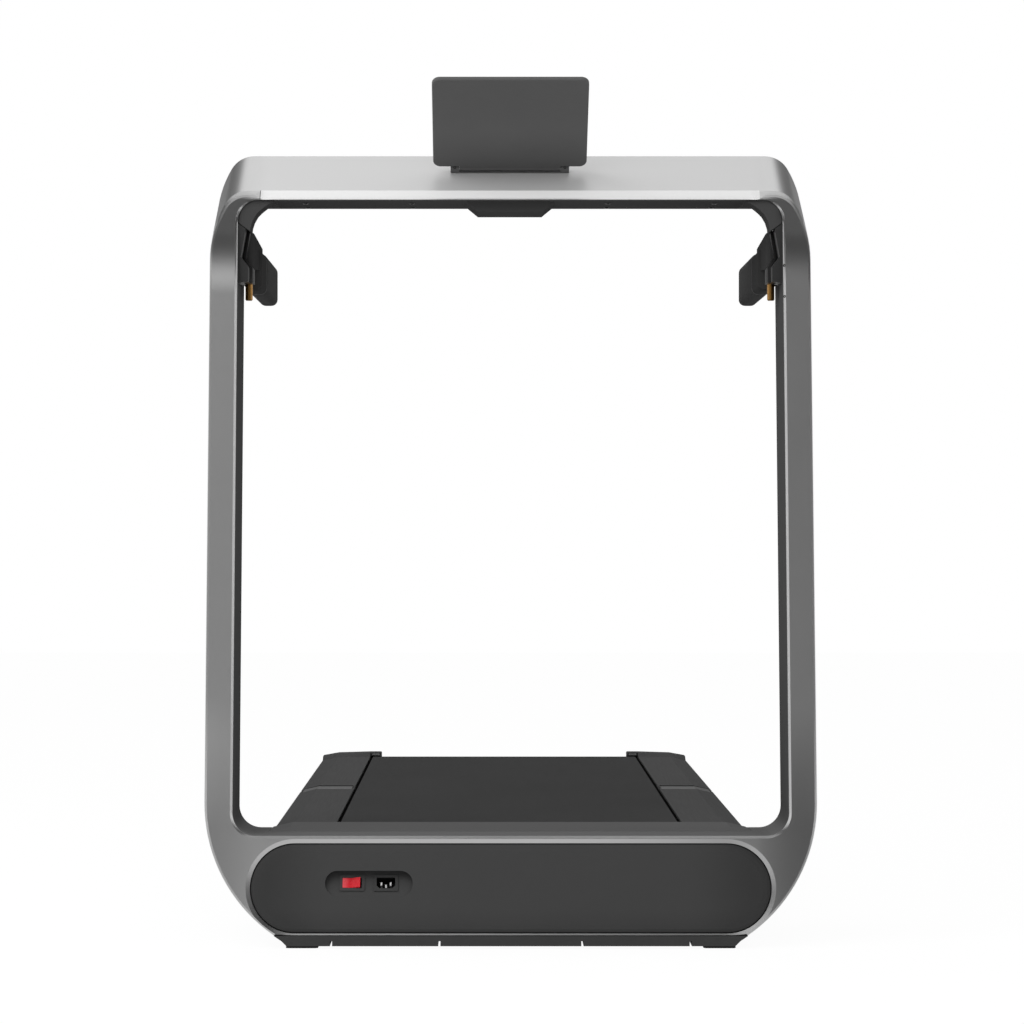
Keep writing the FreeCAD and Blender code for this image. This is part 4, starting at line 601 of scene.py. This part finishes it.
GRIP_FROM = -0.4525
GRIP_RIBS = 28
RIB_STEP = 0.0068
RIB_R = 0.0009
RIB_SIDES = 8
GRIP_MID_X = 0.31725
GRIP_MID_Z = 0.81675
GRIP_WIDE = 0.0225
GRIP_TALL = 0.0505
GRIP_ROUND = 0.008
ROUND_STEPS = 6

charcoal, shader, place = new_finish("charcoal_anodised", Specular_IOR_Level=0.0)
drawn = place.stretched(1.0, 0.03, 1.0).grain(0.0007)
place.grain(0.06).between(tint(60), tint(66)).into(shader, "Base Color")
(drawn * 0.14 + 0.34).into(shader, "Roughness")
drawn.relief(0.00002).into(shader, "Normal")
dress(charcoal, "handle_left", "handle_right")

brass = grained_finish(
    "brass", (tint(150, 112, 62), tint(168, 128, 74)), spots=0.006, rough=0.25, rougher=0.15,
    grain=0.001, pits=0.0008, depth=0.00002, Metallic=1.0)
dress(brass, "handle_pins")

grip_rubber = grained_finish(
    "grip_rubber", (tint(58), tint(64)), spots=0.01, rough=0.6, rougher=0.2,
    grain=0.0015, pits=0.0009, depth=0.00008, Specular_IOR_Level=0.15)
dress(grip_rubber, "grip_left", "grip_right")


def new_tree(name, *lengths):
    """A Geometry Nodes group that sets a shape on points, with some lengths as its inputs.

    It comes with its inputs, a way to add a linked node and a way to end with the shape."""
    tree = bpy.data.node_groups.new(name, "GeometryNodeTree")
    tree.interface.new_socket("Geometry", in_out="OUTPUT", socket_type="NodeSocketGeometry")
    tree.interface.new_socket("Points", in_out="INPUT", socket_type="NodeSocketGeometry")
    for label in lengths:
        tree.interface.new_socket(label, in_out="INPUT", socket_type="NodeSocketFloat")
    tree.interface.new_socket("Material", in_out="INPUT", socket_type="NodeSocketMaterial")
    given = tree.nodes.new("NodeGroupInput").outputs

    def add(kind, settings, values):
        made = tree.nodes.new(kind)
        for key, value in settings.items():
            setattr(made, key, value)
        for key, value in values.items():
            if isinstance(value, bpy.types.NodeSocket):
                tree.links.new(value, made.inputs[key])
            else:
                made.inputs[key].default_value = value
        return made.outputs

    def end(shape):
        axis = add("GeometryNodeInputNamedAttribute", {"data_type": "FLOAT_VECTOR"},
                   {"Name": "axis"})
        turn = add("FunctionNodeAlignRotationToVector", {"axis": "Z"}, {"Vector": axis[0]})
        copies = add("GeometryNodeInstanceOnPoints", {},
                     {"Points": given["Points"], "Instance": shape, "Rotation": turn[0]})
        whole = add("GeometryNodeRealizeInstances", {}, {"Geometry": copies[0]})
        done = add("GeometryNodeSetMaterial", {},
                   {"Geometry": whole[0], "Material": given["Material"]})
        tree.links.new(done[0], tree.nodes.new("NodeGroupOutput").inputs[0])

    return tree, given, add, end


def grown(name, tree, points, axes, values):
    """The plain mesh that a tree makes on some points, each with its own axis."""
    mesh = bpy.data.meshes.new(name)
    mesh.from_pydata(points, [], [])
    axis = mesh.attributes.new("axis", "FLOAT_VECTOR", "POINT")
    for here, direction in enumerate(axes):
        axis.data[here].vector = direction
    holder = bpy.data.objects.new(name, mesh)
    bpy.context.scene.collection.objects.link(holder)
    modifier = holder.modifiers.new(name, "NODES")
    modifier.node_group = tree
    for item in tree.interface.items_tree:
        if item.in_out == "INPUT" and item.name in values:
            modifier[item.identifier] = values[item.name]
    graph = bpy.context.evaluated_depsgraph_get()
    made = bpy.data.meshes.new_from_object(holder.evaluated_get(graph))
    bpy.data.objects.remove(holder)
    made.name = name
    return made


tree, given, add, end = new_tree("grip_ribs", "Wide", "Tall", "Round", "Rib")
loop = add("GeometryNodeCurvePrimitiveQuadrilateral", {},
           {"Width": given["Wide"], "Height": given["Tall"]})
loop = add("GeometryNodeFilletCurve", {"mode": "POLY"},
           {"Curve": loop[0], "Count": ROUND_STEPS, "Radius": given["Round"]})
bead = add("GeometryNodeCurvePrimitiveCircle", {},
           {"Resolution": RIB_SIDES, "Radius": given["Rib"]})
rib = add("GeometryNodeCurveToMesh", {}, {"Curve": loop[0], "Profile Curve": bead[0]})
end(rib[0])

for side, name in ((-1, "handle_left"), (1, "handle_right")):
    places = [(side * GRIP_MID_X, GRIP_FROM + rib * RIB_STEP, GRIP_MID_Z)
              for rib in range(GRIP_RIBS)]
    mesh = grown(name + "_ribs", tree, places, [(0, 1, 0)] * GRIP_RIBS,
                 {"Wide": GRIP_WIDE, "Tall": GRIP_TALL, "Round": GRIP_ROUND, "Rib": RIB_R,
                  "Material": grip_rubber})
    piece = new_piece(name + "_ribs", mesh, grip_rubber)
    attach(piece, name)

# Deck rails: four hollow side rails with a rounded shoulder, capped at the rear, and fold links.
# Extruded aluminium, anodised charcoal, with the fine lines of the die along them;
# the rails are pinned to the links in the middle.

rail_finish, shader, place = new_finish("anodised_rail", Specular_IOR_Level=0.05)
die_lines = place.stretched(1.0, 0.01, 1.0).grain(0.0009)
place.grain(0.09).between(tint(60), tint(64)).into(shader, "Base Color")
(die_lines * 0.16 + 0.45).into(shader, "Roughness")
die_lines.relief(0.00003).into(shader, "Normal")
dress(rail_finish, "front_rail_left", "front_rail_right", "rear_rail_left", "rear_rail_right",
      "rear_end_caps")

link_finish = grained_finish(
    "anodised_link", (tint(80), tint(86)), spots=0.02, rough=0.32, rougher=0.14,
    grain=0.001, pits=0.0009, depth=0.00003, Specular_IOR_Level=0.2)
dress(link_finish, "fold_links")

# Plugs in the rails' open ends at the fold.
# Moulded black plastic, shaped like the hollow of the rail under the fold links,
# pushed in to just below the cut edge.

PLUG_SECTION = ((0.2213, 0.0433), (0.2847, 0.0433), (0.2917, 0.0553), (0.2917, 0.0985),
                (0.2213, 0.0985))
PLUG_THICK = 0.004
PLUG_SUNK = 0.001
FRONT_RAIL_END = 0.0761
REAR_RAIL_END = 0.0769

for body, start in (("deck_front", FRONT_RAIL_END - PLUG_SUNK - PLUG_THICK),
                    ("deck_rear", REAR_RAIL_END + PLUG_SUNK)):
    name = body + "_rail_plugs"
    mesh = prism_pair(name, PLUG_SECTION, start, start + PLUG_THICK)
    piece = new_piece(name, mesh, moulded)
    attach(piece, body)

# Deck boards under the belt.
# Two slabs of fibreboard with a hard laminate on top,
# screwed down on the cross members.

LAMINATE_EDGE = (0.1208, 0.1212)

fibreboard, shader, place = new_finish("fibreboard", Specular_IOR_Level=0.0)
x, y, z = place.parts()
face = z.step(*LAMINATE_EDGE)
fibres = place.stretched(0.25, 0.25, 1.0).grain(0.0012, 4.0)
raw = fibres.between(tint(112, 86, 60), tint(150, 120, 88))
face.between(raw, tint(14)).into(shader, "Base Color")
(fibres * 0.2 + 0.5).into(shader, "Roughness")
fibres.relief(0.0001).into(shader, "Normal")
dress(fibreboard, "front_deck_board", "rear_deck_board")

# Running belt: one loop round both rollers, across the deck's fold.
# A woven carrier faced with black vinyl, embossed with a fine diamond grain,
# made as two lengths that meet over the middle of the fold.

BELT_HALF = 0.2135
BELT_THICK = 0.002
BELT_SOFT_EDGE = 0.0005
BELT_TOP = 0.1245
ROLLER_Z = 0.1042
IDLER_Z = 0.0867
IDLER_WRAP = 0.0093
SEAM_Y = 0.076476
FRONT_ROLLER_Y = -0.519548
FRONT_IDLER_Y = 0.031476
REAR_ROLLER_Y = 0.676
REAR_IDLER_Y = 0.121476
BEND_STEP = 0.003
BEND_ROWS = 14
FLAT_ROWS = 12
ROLLER_ROWS = 20
IDLER_ROWS = 4
DIAMOND = 0.0032

belt_vinyl, shader, place = new_finish("embossed_vinyl", Specular_IOR_Level=0.01)
layout = place.node("ShaderNodeUVMap", {"uv_map": "belt"}, {})
across, along, none = layout.parts()
diamond = abs((across + along).wave(DIAMOND) * (across - along).wave(DIAMOND))
worn = layout.grain(0.16)
weave = diamond * 0.7 + layout.grain(0.0008) * 0.3
(weave * 0.8 + worn * 0.3).between(tint(48), tint(72)).into(shader, "Base Color")
(weave * 0.2 + 0.42).into(shader, "Roughness")
weave.relief(0.00025).into(shader, "Normal")


def belt_path(reach, idler):
    """Points of the belt's outer face and their outward sides, from seam to seam over the roller.

    Lengths run from the roller's axis towards the seam, and rows are close where it bends."""
    wrap = BELT_TOP - ROLLER_Z
    drop = ROLLER_Z - IDLER_Z
    rise = math.asin((wrap + IDLER_WRAP) / math.hypot(idler, drop)) - math.atan2(drop, idler)
    bends = [reach - BEND_STEP * row for row in range(BEND_ROWS)]
    path = [(near, BELT_TOP, 0, 1) for near in bends]
    path += [(idler * row / FLAT_ROWS, BELT_TOP, 0, 1) for row in range(FLAT_ROWS - 1, 0, -1)]
    for row in range(ROLLER_ROWS + 1):
        turn = math.radians(90) + (math.radians(180) + rise) * row / ROLLER_ROWS
        side, up = math.cos(turn), math.sin(turn)
        path.append((wrap * side, ROLLER_Z + wrap * up, side, up))
    for row in range(IDLER_ROWS + 1):
        turn = rise * (1 - row / IDLER_ROWS)
        side, up = math.sin(turn), -math.cos(turn)
        path.append((idler - IDLER_WRAP * side, IDLER_Z - IDLER_WRAP * up, side, up))
    path += [(near, IDLER_Z + IDLER_WRAP, 0, -1) for near in reversed(bends)]
    return path


def belt_half(name, roller_y, idler_y):
    """One length of the belt, from its roller to the seam, as a closed band."""
    reach, idler = abs(SEAM_Y - roller_y), abs(idler_y - roller_y)
    towards = math.copysign(1, SEAM_Y - roller_y)
    edge, wide, deep = BELT_SOFT_EDGE, BELT_HALF, BELT_THICK
    section = [(edge - wide, 0), (wide - edge, 0), (wide, edge), (wide, deep - edge),
               (wide - edge, deep), (edge - wide, deep), (-wide, deep - edge), (-wide, edge)]
    shape = bmesh.new()
    layer = shape.loops.layers.uv.new("belt")
    runs, lengths, gone, last = [], {}, 0.0, None
    for near, height, side, up in belt_path(reach, idler):
        if last:
            gone += math.hypot(near - last[0], height - last[1])
        last = (near, height)
        run = [shape.verts.new((a, roller_y + towards * (near - side * b), height - up * b))
               for a, b in section]
        lengths.update((vert, gone) for vert in run)
        runs.append(run)
    shape.faces.new(runs[0])
    shape.faces.new(runs[-1])
    for run, later in zip(runs, runs[1:]):
        join_rings(shape, run, later)
    for face in shape.faces:
        for corner in face.loops:
            corner[layer].uv = (corner.vert.co.x, lengths[corner.vert])
    return new_piece(name, close_mesh(name, shape), belt_vinyl)


piece = belt_half("running_belt_front", FRONT_ROLLER_Y, FRONT_IDLER_Y)
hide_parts("belt_front")
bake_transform(piece)

piece = belt_half("running_belt_rear", REAR_ROLLER_Y, REAR_IDLER_Y)
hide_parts("belt_rear")
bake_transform(piece)

# Screws: under the pan and the console, in the right upright's bevel and the tablet hinge's ears.
# Black oxide socket heads with a chamfered rim and a round driver recess,
# each standing on the face that it holds.

SCREW_SIDES = 18
PAN_UNDER_Z = 0.003
BEVEL_X = 0.3317
BEVEL_Y = -0.7084
EAR_X = 0.0678
EAR_Y = -0.5513
EAR_Z = 0.9406
DOWN = (0, 0, -1)
FORWARD = (0, -1, 0)
OFF_BEVEL = (-0.7, -0.7, 0.08)

black_oxide = grained_finish(
    "black_oxide", (tint(36), tint(44)), spots=0.003, rough=0.3, rougher=0.15,
    grain=0.0008, pits=0.0006, depth=0.00002, Metallic=0.8)

tree, given, add, end = new_tree("socket_screws", "Head", "Tall")
head = add("GeometryNodeMeshCylinder", {"fill_type": "NGON"},
           {"Vertices": SCREW_SIDES, "Radius": given["Head"], "Depth": given["Tall"]})
shape, top = head["Mesh"], head["Top"]
for lift, shrink in ((0.5, 0.86), (0.0, 0.62), (-0.9, 0.96)):
    rise = add("ShaderNodeMath", {"operation": "MULTIPLY"}, {0: given["Tall"], 1: lift})
    pulled = add("GeometryNodeExtrudeMesh", {},
                 {"Mesh": shape, "Selection": top, "Offset Scale": rise[0], "Individual": False})
    scaled = add("GeometryNodeScaleElements", {"domain": "FACE"},
                 {"Geometry": pulled["Mesh"], "Selection": pulled["Top"], "Scale": shrink})
    shape, top = scaled[0], pulled["Top"]
end(shape)

cover_screws = [((across, depth, PAN_UNDER_Z), DOWN)
                for across in (-0.15, 0, 0.15) for depth in (-0.69, -0.625)]
cover_screws += [((across, depth, OPENING_HIGH), DOWN)
                 for across in (-0.25, -0.12, 0.12, 0.25) for depth in (-0.575, -0.525)]
small_screws = [((BEVEL_X, height * LEAN_RATE + BEVEL_Y, height), OFF_BEVEL)
                for height in (0.7767, 0.8145)]
small_screws += [((side * EAR_X, EAR_Y, EAR_Z), FORWARD) for side in (-1, 1)]
for name, screws, head, tall in (("cover_screws", cover_screws, 0.0035, 0.0012),
                                 ("small_screws", small_screws, 0.0017, 0.0006)):
    mesh = grown(name, tree, [at for at, axis in screws], [axis for at, axis in screws],
                 {"Head": head, "Tall": tall, "Material": black_oxide})
    piece = new_piece(name, mesh, black_oxide)
    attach(piece, "base")

# Floor and light: a plain white floor, a large soft lamp high at the front left, and a studio all
# round that is white to the camera, while the metal faces mirror its bright and dark panels.
# The camera stands where the photograph was taken from.

FLOOR_HALF = 8.0
FLOOR_BELOW = 0.0003
FLOOR_GLOW = 1.02
FLOOR_LIT = 0.93
FILL_LIGHT = 0.64
LAMP_AIM = Vector((0.0, 0.0, 0.4))

floor_material = bpy.data.materials.new("white_floor")
floor_material.use_nodes = True
nodes = floor_material.node_tree.nodes
nodes.remove(nodes["Principled BSDF"])
path = nodes.new("ShaderNodeLightPath")
mirrored = Wire(path.outputs["Is Glossy Ray"])
seen = Wire(path.outputs["Is Camera Ray"]).over(mirrored)
seen = seen.over(Wire(path.outputs["Is Transmission Ray"]))
paint = seen.node("ShaderNodeBsdfDiffuse", {}, {"Color": (0.92, 0.92, 0.92, 1.0)})
x, y, z = Wire(nodes.new("ShaderNodeTexCoord").outputs["Object"]).parts()
in_front = mirrored * (1 - y.step(-0.95, -0.6))
dim = in_front * (x.step(0.05, 0.5) * 0.7 + (-1 * x).step(0.2, 0.6) * 0.25)
white = (1 - dim).between((0.0, 0.0, 0.0, 1.0), (1.0, 1.0, 1.0, 1.0))
glow = seen.node("ShaderNodeEmission", {}, {"Color": white, "Strength": FLOOR_GLOW})
floor_shader = seen.node("ShaderNodeMixShader", {}, {0: seen * FLOOR_LIT, 1: paint, 2: glow})
floor_shader.into(nodes["Material Output"], "Surface")
shape = bmesh.new()
bmesh.ops.create_grid(shape, x_segments=1, y_segments=1, size=FLOOR_HALF)
bmesh.ops.translate(shape, verts=shape.verts, vec=(0, 0, -FLOOR_BELOW))
mesh = bpy.data.meshes.new("floor")
shape.to_mesh(mesh)
shape.free()
mesh.materials.append(floor_material)
floor = bpy.data.objects.new("floor", mesh)
bpy.context.scene.collection.objects.link(floor)

world = bpy.data.worlds.new("studio")
world.use_nodes = True
bpy.context.scene.world = world
nodes = world.node_tree.nodes
path = nodes.new("ShaderNodeLightPath")
direct = Wire(path.outputs["Is Camera Ray"]).over(Wire(path.outputs["Is Transmission Ray"]))
mirrored = Wire(path.outputs["Is Glossy Ray"])
x, y, z = Wire(nodes.new("ShaderNodeTexCoord").outputs["Generated"]).parts()


def level_at(height, *stops):
    """The studio's brightness at each height over the horizon."""
    greys = [(at, (grey, grey, grey, 1.0)) for at, grey in stops]
    return height.node("ShaderNodeValToRGB", {"stops": greys}, {"Fac": height})


left = level_at(z, (0.0, 0.69), (0.12, 0.6), (0.3, 0.4), (0.44, 1.5), (0.6, 1.5),
                (0.74, 0.2), (0.84, 0.06))
right = level_at(z, (0.0, 0.29), (0.12, 0.27), (0.3, 0.26), (0.45, 0.1), (0.62, 0.06),
                 (0.88, 0.06))
rightward = x.step(-0.06, 0.06)
beside = abs(x).step(0.18, 0.34) * (1 - abs(x).step(0.7, 0.85))
front = (left * (1 - rightward) + right * rightward) * (1 - beside * 0.5)
flag = abs(x).step(0.22, 0.34) * (1 - abs(x).step(0.62, 0.76)) * z.step(0.2, 0.4)
low = (1 - z.step(0.25, 0.45)) * (1 - abs(x).step(0.3, 0.5))
back = (1.0 + z.step(0.4, 0.75) * 0.38) * (1 - flag * 0.8) * (1 - low * 0.94)
behind = y.step(-0.35, 0.1)
studio = front * (1 - behind) + back * behind
panels = abs(x).step(0.78, 0.92)
studio = studio * (1 - panels) + panels * 1.4
overhead = z.step(0.9, 0.97) * y.step(-0.3, 0.0)
studio = studio * (1 - overhead) + overhead * 0.8
level = direct + (1 - direct) * (mirrored * studio + (1 - mirrored) * FILL_LIGHT)
level.into(nodes["Background"], "Strength")
nodes["Background"].inputs["Color"].default_value = (1.0, 1.0, 1.0, 1.0)

lamp = bpy.data.lights.new("softbox", "AREA")
lamp.size = 2.4
lamp.energy = 44.0
softbox = bpy.data.objects.new("softbox", lamp)
softbox.location = (-1.5, -2.2, 2.6)
softbox.rotation_euler = (LAMP_AIM - softbox.location).to_track_quat("-Z", "Y").to_euler()
softbox.visible_camera = False
softbox.visible_glossy = False
bpy.context.scene.collection.objects.link(softbox)

lens = bpy.data.cameras.new("camera")
lens.sensor_width = 36.0
lens.lens = 108.4
lens.shift_x = 0.0250
lens.shift_y = 0.0162
camera = bpy.data.objects.new("camera", lens)
camera.location = (-0.0289, -4.3495, 0.496)
camera.rotation_euler = (math.radians(90), 0.0, 0.0)
bpy.context.scene.collection.objects.link(camera)
bpy.context.scene.camera = camera
bpy.context.scene.view_settings.view_transform = "Standard"
